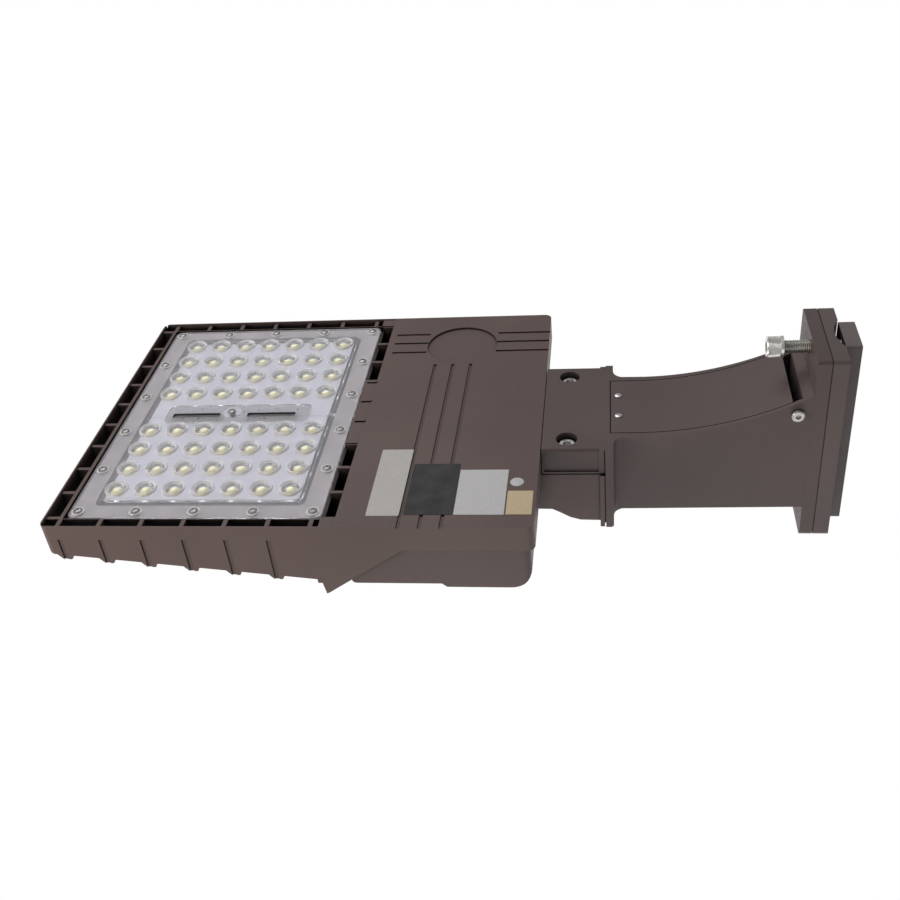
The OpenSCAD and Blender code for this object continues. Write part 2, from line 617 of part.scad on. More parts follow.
// ---- Optic ----------------------------------------------------------------
module lens_plate() color([0.86, 0.87, 0.9, 0.6]) difference() {
    x0 = lens_cx - lens_l / 2;
    x1 = lens_cx + lens_l / 2;
    union() {
        translate([0, 0, z_lens]) linear_extrude(lens_t) rrect(x0, x1, -lens_w / 2, lens_w / 2, 6);
        translate([0, 0, z_lens - field_rise]) linear_extrude(field_rise + eps)
            rrect(x0 + lens_flange, x1 - lens_flange, -lens_w / 2 + lens_flange, lens_w / 2 - lens_flange, 5);
        for (i = [-led_nx:led_nx], y = row_y, s = [-1, 1])
            translate([lens_cx + i * led_px, s * y, z_lens - field_rise]) dome();
    }
    translate([0, 0, z_lens_back - lens_t + 1]) linear_extrude(lens_t)
        rrect(x0 + lens_flange + 2, x1 - lens_flange - 2, -lens_w / 2 + lens_flange + 2, lens_w / 2 - lens_flange - 2, 4);
    for (p = lens_screw_at) rounds_xy(p[0], p[1], screw_d / 2 + fit_hole, z_lens - field_rise - 1, z_base);
    // Sunk strip round the middle screw, and the two slots in it
    translate([0, 0, z_lens - field_rise - 1]) linear_extrude(1 + strip_depth)
        rrect(lens_cx - strip_l / 2, lens_cx + strip_l / 2, slot_y - 12.4, slot_y + 13.6, 6);
    for (x = [lens_cx - 28.5, lens_cx + 36])
        span(x - 20.5, x + 20.5, slot_y - 1.8, slot_y + 1.8, z_lens - field_rise - 1, z_base);
}
// One lens: a shallow round cap
module dome() {
    r = dome_d / 2;
    rr = (r * r + dome_h * dome_h) / (2 * dome_h);
    intersection() {
        translate([0, 0, rr - dome_h]) sphere(rr);
        translate([0, 0, -dome_h - 1]) cylinder(r = r, h = dome_h + 1 + eps);
    }
}
module lens_gasket() color([0.9, 0.9, 0.9]) difference() {
    translate([0, 0, z_lens_back]) linear_extrude(gasket_lens_t) difference() {
        rrect(lens_cx - lens_l / 2 + 1, lens_cx + lens_l / 2 - 1, -lens_w / 2 + 1, lens_w / 2 - 1, 5);
        rrect(lens_cx - lens_l / 2 + lens_flange - 2, lens_cx + lens_l / 2 - lens_flange + 2,
              -lens_w / 2 + lens_flange - 2, lens_w / 2 - lens_flange + 2, 5);
    }
    for (p = lens_screw_at) rounds_xy(p[0], p[1], screw_d / 2 + fit_hole, z_lens, z_base + 1);
}
module lens_screws() color(steel)
    for (k = [0:len(lens_screw_at) - 1]) {
        p = lens_screw_at[k];
        mid = k == len(lens_screw_at) - 1;
        rise = mid ? field_rise - strip_depth : 0;
        translate([p[0], p[1], z_lens - rise])
            pan_screw(screw_d, lens_t + gasket_lens_t + base_t - 2 + rise, screw_head_d, 2.6);
    }
board_l = 2 * led_nx * led_px + 16;
board_y = row_y[led_ny] + 9;
// One of the two boards, which meet on the line of the slots
module led_board(s) translate([0, 0, z_base - board_t]) linear_extrude(board_t) difference() {
    rrect(lens_cx - board_l / 2, lens_cx + board_l / 2, min(slot_y + s * 0.2, s * board_y), max(slot_y + s * 0.2, s * board_y), 2);
    for (x = [lens_cx - 28.5, lens_cx + 36]) rrect(x - 21, x + 21, slot_y - 2.3, slot_y + 2.3, 1);
    translate([lens_cx + 6, -1]) circle(screw_d / 2 + fit_hole);
}
module led_board_left() color([0.93, 0.93, 0.93]) led_board(1);
module led_board_right() color([0.93, 0.93, 0.93]) led_board(-1);
module led_chips() color([0.95, 0.85, 0.3])
    for (i = [-led_nx:led_nx], y = row_y, s = [-1, 1])
        translate([lens_cx + i * led_px - chip_s / 2, s * y - chip_s / 2, z_base - board_t - chip_t])
            cube([chip_s, chip_s, chip_t]);

// ---- Arm ------------------------------------------------------------------
arc_x = x_fl0 - arm_flat;
// Half width of the tapered arm
function arm_half(x) = (arm_w_pole + (arm_w_head - arm_w_pole) * (x - adapter_t) / (x_fl0 + 5 - adapter_t)) / 2;
// The space under the arm's curve, for a curve radius grown by g
module under_arc(g) {
    translate([arc_x, 0, z_face - arm_arc_r]) rotate([90, 0, 0])
        cylinder(r = arm_arc_r + g, h = 400, center = true, $fn = 240);
}
// The arm's long body before hollowing
module arm_block() {
    intersection() {
        difference() {
            span(adapter_t + 2, x_fl0 + 2, -60, 60, z_face - 60, arm_top);
            span(arc_x, x_fl0 + 9, -70, 70, z_face - 70, z_face);
            intersection() {
                under_arc(0);
                span(0, arc_x + 1, -70, 70, z_face - 80, z_face + 5);
            }
        }
        translate([0, 0, z_face - 100]) linear_extrude(300)
            polygon([[adapter_t, -arm_w_pole / 2], [x_fl0 + 5, -arm_w_head / 2],
                     [x_fl0 + 5, arm_w_head / 2], [adapter_t, arm_w_pole / 2]]);
        // Bevels along the top edges
        rotate([90, 0, 90]) linear_extrude(x_fl0 + 20)
            polygon([[-60, z_face - 80], [60, z_face - 80], [60, arm_top - 20], [arm_w_head / 2, arm_top - 1.5],
                     [arm_w_head / 2 - arm_edge, arm_top], [-arm_w_head / 2 + arm_edge, arm_top],
                     [-arm_w_head / 2, arm_top - 1.5], [-60, arm_top - 20]]);
    }
}
x_slot0 = x_plate + arm_web;
x_cover0 = x_slot0 + arm_slot;
ground_x = x_slot0 + 3.3;
// Foot of the fillet on the arm's side, a little inside its face
fillet_y = arm_half(x_fl0 - flange_fillet) - 0.2;
x_cover1 = x_fl0 + 1.8;
// Space of the curved cover, a gap g deeper than the cover is thick
module cover_space(x0, x1, g) {
    intersection() {
        under_arc(arm_cover_t + g);
        span(x0, arc_x + eps, -arm_cover_w / 2 - arm_cover_gap, arm_cover_w / 2 + arm_cover_gap, z_face - 60, z_face + 20);
    }
    span(arc_x, x1 + arm_cover_gap, -arm_cover_w / 2 - arm_cover_gap, arm_cover_w / 2 + arm_cover_gap,
         z_face - 1, z_face + arm_cover_t + g);
}
arm_cover_screw_at = [for (s = [-1, 1]) [x_fl0 - 4, s * 14.2]];
module arm_body() color(bronze) difference() {
    union() {
        // Pole plate
        translate([adapter_t, 0, 0]) rotate([90, 0, 90]) linear_extrude(plate_t)
            rrect(-plate_w / 2, plate_w / 2, -plate_h / 2, plate_h / 2, plate_corner);
        arm_block();
        // Web fillets above and below the arm at the plate
        across(-arm_w_pole / 2 + 6, arm_w_pole / 2 - 6)
            polygon([[x_plate - 1, arm_top - 1], [x_plate + 5, arm_top - 1], [x_plate + 5, arm_top],
                     [x_plate + 1.5, arm_top + 1.5], [x_plate, arm_top + 5], [x_plate - 1, arm_top + 5]]);
        // Head flange and its fillet over the arm
        across(-neck_w / 2 - flange_lip, neck_w / 2 + flange_lip)
            polygon([[x_fl0, z_face], [x_joint, z_face], [x_joint, flange_top], [x_fl0 + 2, flange_top],
                     [x_fl0 + 0.6, flange_top - 0.6], [x_fl0, flange_top - 2]]);
        span(x_fl0 + 1, x_lip, -neck_w / 2 - flange_lip + neck_gap_depth, neck_w / 2 + flange_lip - neck_gap_depth,
             z_neck + 2, flange_top - neck_gap_depth);
        across(-arm_w_head / 2 + 2, arm_w_head / 2 - 2)
            polygon(concat([[x_fl0 + 1, arm_top - 1], [x_fl0 - top_fillet, arm_top - 1]],
                           [for (a = [0:15:90]) [x_fl0 - top_fillet + top_fillet * sin(a), arm_top + top_fillet - top_fillet * cos(a)]],
                           [[x_fl0 + 1, arm_top + top_fillet]]));
        for (s = [-1, 1]) translate([0, 0, z_face]) linear_extrude(arm_top - z_face - 1.5)
            polygon(concat([[x_fl0 - flange_fillet, s * (arm_w_head / 2 - 5)], [x_fl0 + 1, s * (arm_w_head / 2 - 5)],
                            [x_fl0 + 1, s * (fillet_y + flange_fillet)]],
                           [for (a = [0:15:90]) [x_fl0 - flange_fillet + flange_fillet * cos(a),
                            s * (fillet_y + flange_fillet - flange_fillet * sin(a))]]));
        // Tongue under the neck
        difference() {
            span(x_joint - 1, x_head - 0.6, -neck_w / 2, neck_w / 2, z_face, z_tongue);
            span(x_fl1 + arm_wall, x_head - 0.6 - arm_wall, -neck_w / 2 + arm_wall + 1, neck_w / 2 - arm_wall - 1,
                 z_face + 4.5, z_tongue + 1);
            // Sunk side panels and the bevels along the lens side
            for (s = [-1, 1]) {
                span(x_joint, x_lip, s * neck_w / 2 - neck_gap_depth, s * neck_w / 2 + neck_gap_depth, z_face + 1.2, z_tongue + 1);
                span(x_fl1 + 1.2, x_head - 2, s * neck_w / 2 - 1, s * neck_w / 2 + 1, z_face + 2.6, z_tongue - 1.4);
                translate([0, s * neck_w / 2, z_face]) rotate([45, 0, 0])
                    span(x_fl1 + 0.5, x_head + 5, -1.4, 1.4, -1.4, 1.4);
            }
        }
        for (s = [-1, 1]) rounds_xy(neck_bolt_x, s * neck_bolt_spacing / 2, 11, z_face + 2, z_tongue);
    }
    // Hollow of the arm, open below where the curved cover drops in
    cover_space(x_slot0, x_cover1, fit_gap);
    span(x_slot0, x_fl0 - 11, -arm_cover_w / 2 + arm_ledge, arm_cover_w / 2 - arm_ledge, z_face - 60, arm_top - arm_wall);
    // Wire way through plate, flange and tongue end
    rod_x(adapter_t - 1, x_slot0 + 1, wire_hole_r);
    translate([0, 0, gland_z]) rod_x(x_fl0 - 13, x_fl1 + 1, 10);
    // Pole bolt holes
    for (s = [-1, 1]) translate([0, 0, s * bolt_spacing / 2]) rod_x(adapter_t - 1, x_plate + 1, bolt_d / 2 + fit_hole);
    // Neck bolts: counterbore and through hole
    for (s = [-1, 1]) {
        rounds_xy(neck_bolt_x, s * neck_bolt_spacing / 2, 8.2, z_face - 1, z_face + neck_cbore_depth);
        rounds_xy(neck_bolt_x, s * neck_bolt_spacing / 2, neck_bolt_d / 2 + fit_hole, z_face, z_tongue + 1);
    }
    for (p = arm_cover_screw_at) rounds_xy(p[0], p[1], 1.5 + fit_tap, z_face, z_face + arm_cover_t + 8);
    // Ground screw hole in the side wall
    translate([ground_x, -arm_half(ground_x) - 8, z_face - ground_drop]) rotate([-90, 0, 0]) cylinder(r = ground_d / 2 + fit_tap, h = 24);
}
module arm_cover() color(bronze) difference() {
    union() {
        intersection() {
            difference() {
                under_arc(arm_cover_t);
                under_arc(0);
            }
            span(x_cover0, arc_x + eps, -arm_cover_w / 2, arm_cover_w / 2, z_face - 60, z_face + 20);
        }
        span(arc_x, x_cover1, -arm_cover_w / 2, arm_cover_w / 2, z_face, z_face + arm_cover_t);
    }
    for (p = arm_cover_screw_at) rounds_xy(p[0], p[1], 1.5 + fit_hole, z_face - 1, z_face + arm_cover_t + 1);
}
module arm_cover_screws() color(steel)
    for (p = arm_cover_screw_at) translate([p[0], p[1], z_face]) pan_screw(3, arm_cover_t + 6, 5.6, 1.6);
module ground_screw() color(steel)
    translate([ground_x, -arm_half(ground_x) - 0.3, z_face - ground_drop]) rotate([0, 0, -90])
        cap_screw(ground_d, 1.5 * ground_d, 1.6 * ground_d, 0.5 * ground_d, 2 / 3 * ground_d);
module neck_gasket() color([0.15, 0.15, 0.15]) translate([0, 0, z_tongue]) linear_extrude(neck_gasket_t)
    difference() {
        rrect(x_lip + 0.4, x_head - 1, -neck_w / 2 + 0.6, neck_w / 2 - 0.6, 2);
        rrect(x_fl1 + 4, x_head - 5, -neck_w / 2 + 5, neck_w / 2 - 5, 2);
    }
module neck_bolt(s) {
    translate([neck_bolt_x, s * neck_bolt_spacing / 2, z_face + neck_cbore_depth]) rotate([0, 90, 0])
        cap_screw(neck_bolt_d, neck_bolt_len, 13, 8, 6);
}
module neck_bolt_left() color([0.25, 0.25, 0.26]) neck_bolt(1);
module neck_bolt_right() color([0.25, 0.25, 0.26]) neck_bolt(-1);

// ---- Pole mount -------------------------------------------------------------
module pole_adapter() color(bronze) difference() {
    union() {
        rotate([90, 0, 90]) linear_extrude(adapter_t - seam_step)
            rrect(-plate_w / 2, plate_w / 2, -plate_h / 2, plate_h / 2, plate_corner);
        rotate([90, 0, 90]) linear_extrude(adapter_t)
            rrect(-plate_w / 2 + seam_step, plate_w / 2 - seam_step, -plate_h / 2 + seam_step, plate_h / 2 - seam_step,
                  plate_corner);
    }
    // Round-pole seat in the pole side
    translate([seat_depth - seat_r, 0, -plate_h]) cylinder(r = seat_r, h = 2 * plate_h, $fn = 96);
    for (s = [-1, 1]) translate([0, 0, s * bolt_spacing / 2]) rod_x(-1, adapter_t + 1, bolt_d / 2 + fit_hole);
    rod_x(-1, adapter_t + 1, wire_hole_r);
}
module backing_bar() color([0.42, 0.4, 0.39]) difference() {
    translate([-bar_t - fit_gap / 2, 0, 0]) rotate([90, 0, 90]) linear_extrude(bar_t)
        rrect(-bar_w / 2, bar_w / 2, -bar_h / 2, bar_h / 2, 2);
    for (s = [-1, 1]) translate([0, 0, s * bolt_spacing / 2]) rod_x(-bar_t - 2, 1, bolt_d / 2 + fit_tap);
    rod_x(-bar_t - 2, 1, min(wire_hole_r, bar_w / 2 - 4));
}
module pole_bolt(s) {
    translate([x_plate + bolt_backout + washer_t, 0, s * bolt_spacing / 2])
        cap_screw(bolt_d, bolt_len, bolt_head_d, bolt_head_h, bolt_socket_af);
}
module pole_bolt_lower() color(steel) pole_bolt(-1);
module pole_bolt_upper() color(steel) pole_bolt(1);
// A split lock washer
module lock_washer(s) {
    translate([x_plate + bolt_backout, 0, s * bolt_spacing / 2]) difference() {
        rod_x(0, washer_t, bolt_d / 2 + 3.4);
        rod_x(-1, washer_t + 1, bolt_d / 2 + fit_tap);
        rotate([0, 0, 25]) span(-8, 8, bolt_d / 2 - 1, bolt_d / 2 + 5, -0.7, 0.7);
    }
}
module lock_washer_lower() color(steel) lock_washer(-1);
module lock_washer_upper() color(steel) lock_washer(1);

head_housing();
driver_cover();
cover_gasket();
cover_screws();
lens_plate();
lens_gasket();
lens_screws();
led_board_left();
led_board_right();
led_chips();
led_driver();
driver_screws();
surge_protector();
terminal_block();
cable_gland();
supply_leads();
led_leads();
splice_block();
neck_gasket();
neck_bolt_left();
neck_bolt_right();
arm_body();
arm_cover();
arm_cover_screws();
ground_screw();
pole_adapter();
backing_bar();
pole_bolt_lower();
pole_bolt_upper();
lock_washer_lower();
lock_washer_upper();
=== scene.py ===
"""Finishes, fine pieces and studio of a pole-mounted shoebox area light.

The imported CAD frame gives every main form. This script rounds the edges of its castings,
models the lens moulding, the LED packages, the screws, the pole bolts and the bare plates,
gives each piece its finish, and sets the light in a plain pale studio.
"""

import logging
import math
from dataclasses import dataclass, field
from enum import Enum
from typing import Callable, Iterable, Sequence

import bmesh
import bpy
from mathutils import Matrix, Vector


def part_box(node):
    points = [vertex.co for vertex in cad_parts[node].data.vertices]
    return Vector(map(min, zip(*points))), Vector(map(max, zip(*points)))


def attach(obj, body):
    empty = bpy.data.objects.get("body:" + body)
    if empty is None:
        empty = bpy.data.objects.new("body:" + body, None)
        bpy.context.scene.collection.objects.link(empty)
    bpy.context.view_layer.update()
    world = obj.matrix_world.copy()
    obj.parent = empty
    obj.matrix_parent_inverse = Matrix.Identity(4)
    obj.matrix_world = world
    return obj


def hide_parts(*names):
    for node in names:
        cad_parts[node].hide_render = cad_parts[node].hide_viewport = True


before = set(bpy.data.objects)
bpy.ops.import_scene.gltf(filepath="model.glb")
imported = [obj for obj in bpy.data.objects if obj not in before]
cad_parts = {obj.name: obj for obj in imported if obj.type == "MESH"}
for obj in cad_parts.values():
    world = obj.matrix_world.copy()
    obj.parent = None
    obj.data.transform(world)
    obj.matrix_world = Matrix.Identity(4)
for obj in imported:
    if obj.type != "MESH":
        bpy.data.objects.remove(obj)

LOG = logging.getLogger("area_light")
MM = 0.001
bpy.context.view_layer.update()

Colour = tuple[float, float, float]
Point = tuple[float, float, float]
FaceTest = Callable[[bmesh.types.BMFace], bool]
Piece = bpy.types.Object
Socket = bpy.types.NodeSocket
Material = bpy.types.Material
Polygon = bpy.types.MeshPolygon


class Body(Enum):
    """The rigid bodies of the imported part."""

    FIXTURE = "fixture"
    BOLT_LOWER = "pole_bolt_lower"
    BOLT_UPPER = "pole_bolt_upper"
    BAR = "backing_bar"


# ---- Finishes ---------------------------------------------------------------


class Sheet:
    """A material's node sheet, with short calls for the nodes that the finishes share."""

    def __init__(self, name: str) -> None:
        """Opens a new sheet.

        Args:
            name: the material's name.
        """
        self.material = bpy.data.materials.new(name)
        self.material.use_nodes = True
        self.tree = self.material.node_tree
        self.tree.nodes.clear()
        self.output = self.node("OutputMaterial")
        self.shader = self.node("BsdfPrincipled")
        self.tree.links.new(self.shader.outputs["BSDF"], self.output.inputs["Surface"])
        self.place = self.node("TexCoord").outputs["Object"]

    def node(self, kind: str, **values: float | Point) -> bpy.types.Node:
        """Adds a node and sets its inputs.

        Args:
            kind: the node's type, without ShaderNode.
            values: input values by the input's name.

        Returns:
            The node.
        """
        node = self.tree.nodes.new(f"ShaderNode{kind}")
        for name, value in values.items():
            node.inputs[name].default_value = value
        return node

    def put(self, socket: str, value: float | Sequence[float]) -> None:
        """Sets one of the shader's own sockets.

        Args:
            socket: the socket's name.
            value: a number, or a colour of three parts.
        """
        if isinstance(value, (int, float)):
            self.shader.inputs[socket].default_value = value
        else:
            self.shader.inputs[socket].default_value = (*value, 1.0)

    def join(self, source: Socket, target: str | Socket) -> None:
        """Links an output to one of the shader's sockets, by name, or to any socket."""
        self.tree.links.new(source, self.shader.inputs[target] if isinstance(target, str) else target)

    def stretched(self, scale: Point) -> Socket:
        """Object coordinates stretched along the axes.

        Args:
            scale: a factor for each axis.

        Returns:
            The mapped coordinates.
        """
        node = self.node("Mapping", Scale=scale)
        self.join(self.place, node.inputs["Vector"])
        return node.outputs["Vector"]

    def noise(
        self, scale: float, detail: float = 3.0, place: Socket | None = None
    ) -> Socket:
        """Noise over the piece.

        Args:
            scale: the noise's frequency per metre.
            detail: octaves.
            place: coordinates, or Object coordinates if left out.

        Returns:
            The noise value.
        """
        node = self.node("TexNoise", Scale=scale, Detail=detail)
        self.join(place or self.place, node.inputs["Vector"])
        return node.outputs["Fac"]

    def cells(self, scale: float) -> Socket:
        """Rounded cells, as in a pebbled coat.

        Args:
            scale: cells per metre.

        Returns:
            The distance to the cell's middle.
        """
        node = self.node("TexVoronoi", Scale=scale)
        self.join(self.place, node.inputs["Vector"])
        return node.outputs["Distance"]

    def mapped(
        self, value: Socket, source: tuple[float, float], result: tuple[float, float]
    ) -> Socket:
        """Maps a value from one range to another.

        Args:
            value: what is mapped.
            source: the range it comes from.
            result: the range it goes to.

        Returns:
            The mapped value.
        """
        node = self.node("MapRange")
        for side, numbers in (("From", source), ("To", result)):
            for limit, number in zip(("Min", "Max"), numbers):
                node.inputs[f"{side} {limit}"].default_value = number
        self.join(value, node.inputs["Value"])
        return node.outputs["Result"]

    def spread(self, value: Socket, low: float, high: float) -> Socket:
        """Maps a noise value around one half, from 0.3 to 0.7, to a range."""
        return self.mapped(value, (0.3, 0.7), (low, high))

    def ramp(self, value: Socket, stops: Sequence[tuple[float, Colour]]) -> Socket:
        """A colour ramp.

        Args:
            value: what the ramp reads.
            stops: places and colours.

        Returns:
            The colour.
        """
        node = self.node("ValToRGB")
        while len(node.color_ramp.elements) < len(stops):
            node.color_ramp.elements.new(0.5)
        for element, (at, colour) in zip(node.color_ramp.elements, stops):
            element.position = at
            element.color = (*colour, 1.0)
        self.join(value, node.inputs["Fac"])
        return node.outputs["Color"]

    def painted_hollow_shade(
        self, colour: Socket, dark: float, reach: float, limits: tuple[float, float]
    ) -> Socket:
        """Darkens a colour in hollows with painted shade from ambient occlusion, darker where facing walls are near.

        Args:
            colour: the open surface's colour.
            dark: what is left of it deep in a hollow.
            reach: how far a facing wall still counts, metres.
            limits: openness at which it is darkest, and from which it is untouched.

        Returns:
            The colour with painted shade in its hollows.
        """
        # Painted shade: the ambient occlusion below darkens the colour in hollows and crevices.
        shade = self.node("AmbientOcclusion", Distance=reach)
        shade.samples = 8
        level = self.mapped(shade.outputs["AO"], limits, (dark, 1.0))
        mix = self.node("Mix")
        mix.data_type = "RGBA"
        mix.blend_type = "MULTIPLY"
        mix.inputs["Factor"].default_value = 1.0
        grey = self.node("CombineColor")
        for channel in ("Red", "Green", "Blue"):
            self.join(level, grey.inputs[channel])
        self.join(colour, mix.inputs[6])
        self.join(grey.outputs["Color"], mix.inputs[7])
        return mix.outputs[2]

    def bump(self, heights: Iterable[tuple[Socket, float, float]]) -> None:
        """Stacks bumps and gives the result to the shader.

        Args:
            heights: for each bump its height value, strength and depth in metres.
        """
        last = None
        for height, strength, depth in heights:
            node = self.node("Bump", Strength=strength, Distance=depth)
            self.join(height, node.inputs["Height"])
            if last is not None:
                self.join(last, node.inputs["Normal"])
            last = node.outputs["Normal"]
        if last is not None:
            self.join(last, "Normal")

    def pass_lamps(self) -> None:
        """Lets the rays of lamps through the surface, as thin clear plastic does."""
        path = self.node("LightPath")
        clear = self.node("BsdfTransparent")
        mix = self.node("MixShader")
        self.join(path.outputs["Is Shadow Ray"], mix.inputs[0])
        self.join(self.shader.outputs["BSDF"], mix.inputs[1])
        self.join(clear.outputs["BSDF"], mix.inputs[2])
        self.join(mix.outputs["Shader"], self.output.inputs["Surface"])


def tinted(colour: Colour, factor: float) -> Colour:
    """A colour made lighter or darker by a factor."""
    return tuple(min(1.0, c * factor) for c in colour)


@dataclass(frozen=True)
class PowderCoat:
    """Bronze powder coat on a casting: fine pebbles, slow colour drift, a soft sheen, and painted shade darkening its
    hollows.
    """

    name: str
    colour: Colour = (0.124, 0.085, 0.079)
    drift: float = 0.08
    pebble: float = 0.16
    rough: float = 0.46
    # hollow, reach, open_from and open_to set the painted shade in the hollows.
    hollow: float = 0.12
    reach: float = 0.012
    open_from: float = 0.25
    open_to: float = 0.75

    def material(self) -> Material:
        """Makes the finish.

        Returns:
            The material.
        """
        sheet = Sheet(self.name)
        slow = sheet.noise(9.0, 3.0)
        thin, thick = tinted(self.colour, 1 - self.drift), tinted(self.colour, 1 + self.drift)
        coat = sheet.ramp(slow, [(0.34, thin), (0.66, thick)])
        # Base colour with painted shade in its hollows, from ambient occlusion.
        sheet.join(sheet.painted_hollow_shade(coat, self.hollow, self.reach, (self.open_from, self.open_to)), "Base Color")
        fine = sheet.noise(1500.0, 2.0)
        pebbles = sheet.cells(1150.0)
        sheet.join(sheet.spread(sheet.noise(260.0, 4.0), self.rough - 0.06, self.rough + 0.07), "Roughness")
        sheet.bump([(pebbles, self.pebble, 0.00012), (fine, self.pebble * 0.8, 0.0001)])
        sheet.put("Specular IOR Level", 0.3)
        return sheet.material


@dataclass(frozen=True)
class TurnedSteel:
    """Bright steel with the fine rings of turning and a worn, uneven gloss."""

    name: str
    colour: Colour
    rough: float
    along: Point = (9000.0, 300.0, 300.0)

    def material(self) -> Material:
        """Makes the finish.

        Returns:
            The material.
        """
        sheet = Sheet(self.name)
        rings = sheet.noise(1.0, 3.0, sheet.stretched(self.along))
        sheet.join(
            sheet.ramp(sheet.noise(420.0, 3.0), [(0.35, tinted(self.colour, 0.86)), (0.65, tinted(self.colour, 1.08))]),
            "Base Color",
        )
        sheet.put("Metallic", 1.0)
        sheet.join(sheet.spread(rings, self.rough - 0.07, self.rough + 0.09), "Roughness")
        sheet.bump([(rings, 0.12, 0.00005)])
        return sheet.material


@dataclass(frozen=True)
class ClearMoulding:
    """Clear moulded polycarbonate, faintly blue, with a slight flow texture."""

    name: str
    colour: Colour = (0.90, 0.90, 0.95)
    rough: float = 0.06
    clear: float = 0.88

    def material(self) -> Material:
        """Makes the finish.

        Returns:
            The material.
        """
        sheet = Sheet(self.name)
        sheet.put("Base Color", self.colour)
        sheet.put("Transmission Weight", self.clear)
        sheet.put("IOR", 1.47)
        sheet.join(sheet.spread(sheet.noise(160.0, 3.0), self.rough * 0.6, self.rough * 1.6), "Roughness")
        sheet.bump([(sheet.noise(120.0, 2.0), 0.05, 0.0002)])
        sheet.pass_lamps()
        return sheet.material


@dataclass(frozen=True)
class Moulded:
    """A moulded plastic, rubber or coated surface: fine grain, small colour drift."""

    name: str
    colour: Colour
    rough: float = 0.5
    grain: float = 700.0
    depth: float = 0.00006
    strength: float = 0.2
    drift: float = 0.05

    def material(self) -> Material:
        """Makes the finish.

        Returns:
            The material.
        """
        sheet = Sheet(self.name)
        dark, light = tinted(self.colour, 1 - self.drift), tinted(self.colour, 1 + self.drift)
        sheet.join(sheet.ramp(sheet.noise(60.0, 4.0), [(0.35, dark), (0.65, light)]), "Base Color")
        sheet.join(sheet.spread(sheet.noise(self.grain * 0.5, 3.0), self.rough - 0.06, self.rough + 0.06), "Roughness")
        sheet.bump([(sheet.noise(self.grain, 3.0), self.strength, self.depth)])
        return sheet.material


@dataclass(frozen=True)
class Phosphor:
    """The silicone dome of an LED: yellow at its foot, paler towards its top."""

    name: str
    foot: Colour = (0.66, 0.62, 0.20)
    top: Colour = (0.95, 0.92, 0.50)
    foot_z: float = -0.0157
    top_z: float = -0.0190

    def material(self) -> Material:
        """Makes the finish.

        Returns:
            The material.
        """
        sheet = Sheet(self.name)
        axes = sheet.node("SeparateXYZ")
        sheet.join(sheet.place, axes.inputs["Vector"])
        level = sheet.mapped(axes.outputs["Z"], (self.foot_z, self.top_z), (0.0, 1.0))
        sheet.join(sheet.ramp(level, [(0.0, self.foot), (0.9, self.top)]), "Base Color")
        sheet.join(sheet.spread(sheet.noise(900.0, 3.0), 0.28, 0.42), "Roughness")
        sheet.bump([(sheet.noise(1500.0, 3.0), 0.15, 0.00004)])
        return sheet.material


@dataclass(frozen=True)
class PrintedStock:
    """The stock of a bare plate: paper or foil with its fibres and a faint waviness."""

    name: str
    colour: Colour
    rough: float = 0.45
    fibre: Point = (900.0, 260.0, 900.0)

    def material(self) -> Material:
        """Makes the finish.

        Returns:
            The material.
        """
        sheet = Sheet(self.name)
        fibres = sheet.noise(1.0, 5.0, sheet.stretched(self.fibre))
        sheet.join(
            sheet.ramp(fibres, [(0.3, tinted(self.colour, 0.93)), (0.7, tinted(self.colour, 1.05))]), "Base Color"
        )
        sheet.join(sheet.spread(sheet.noise(90.0, 3.0), self.rough - 0.08, self.rough + 0.1), "Roughness")
        sheet.bump([(sheet.noise(55.0, 2.0), 0.25, 0.0003), (fibres, 0.15, 0.00003)])
        return sheet.material


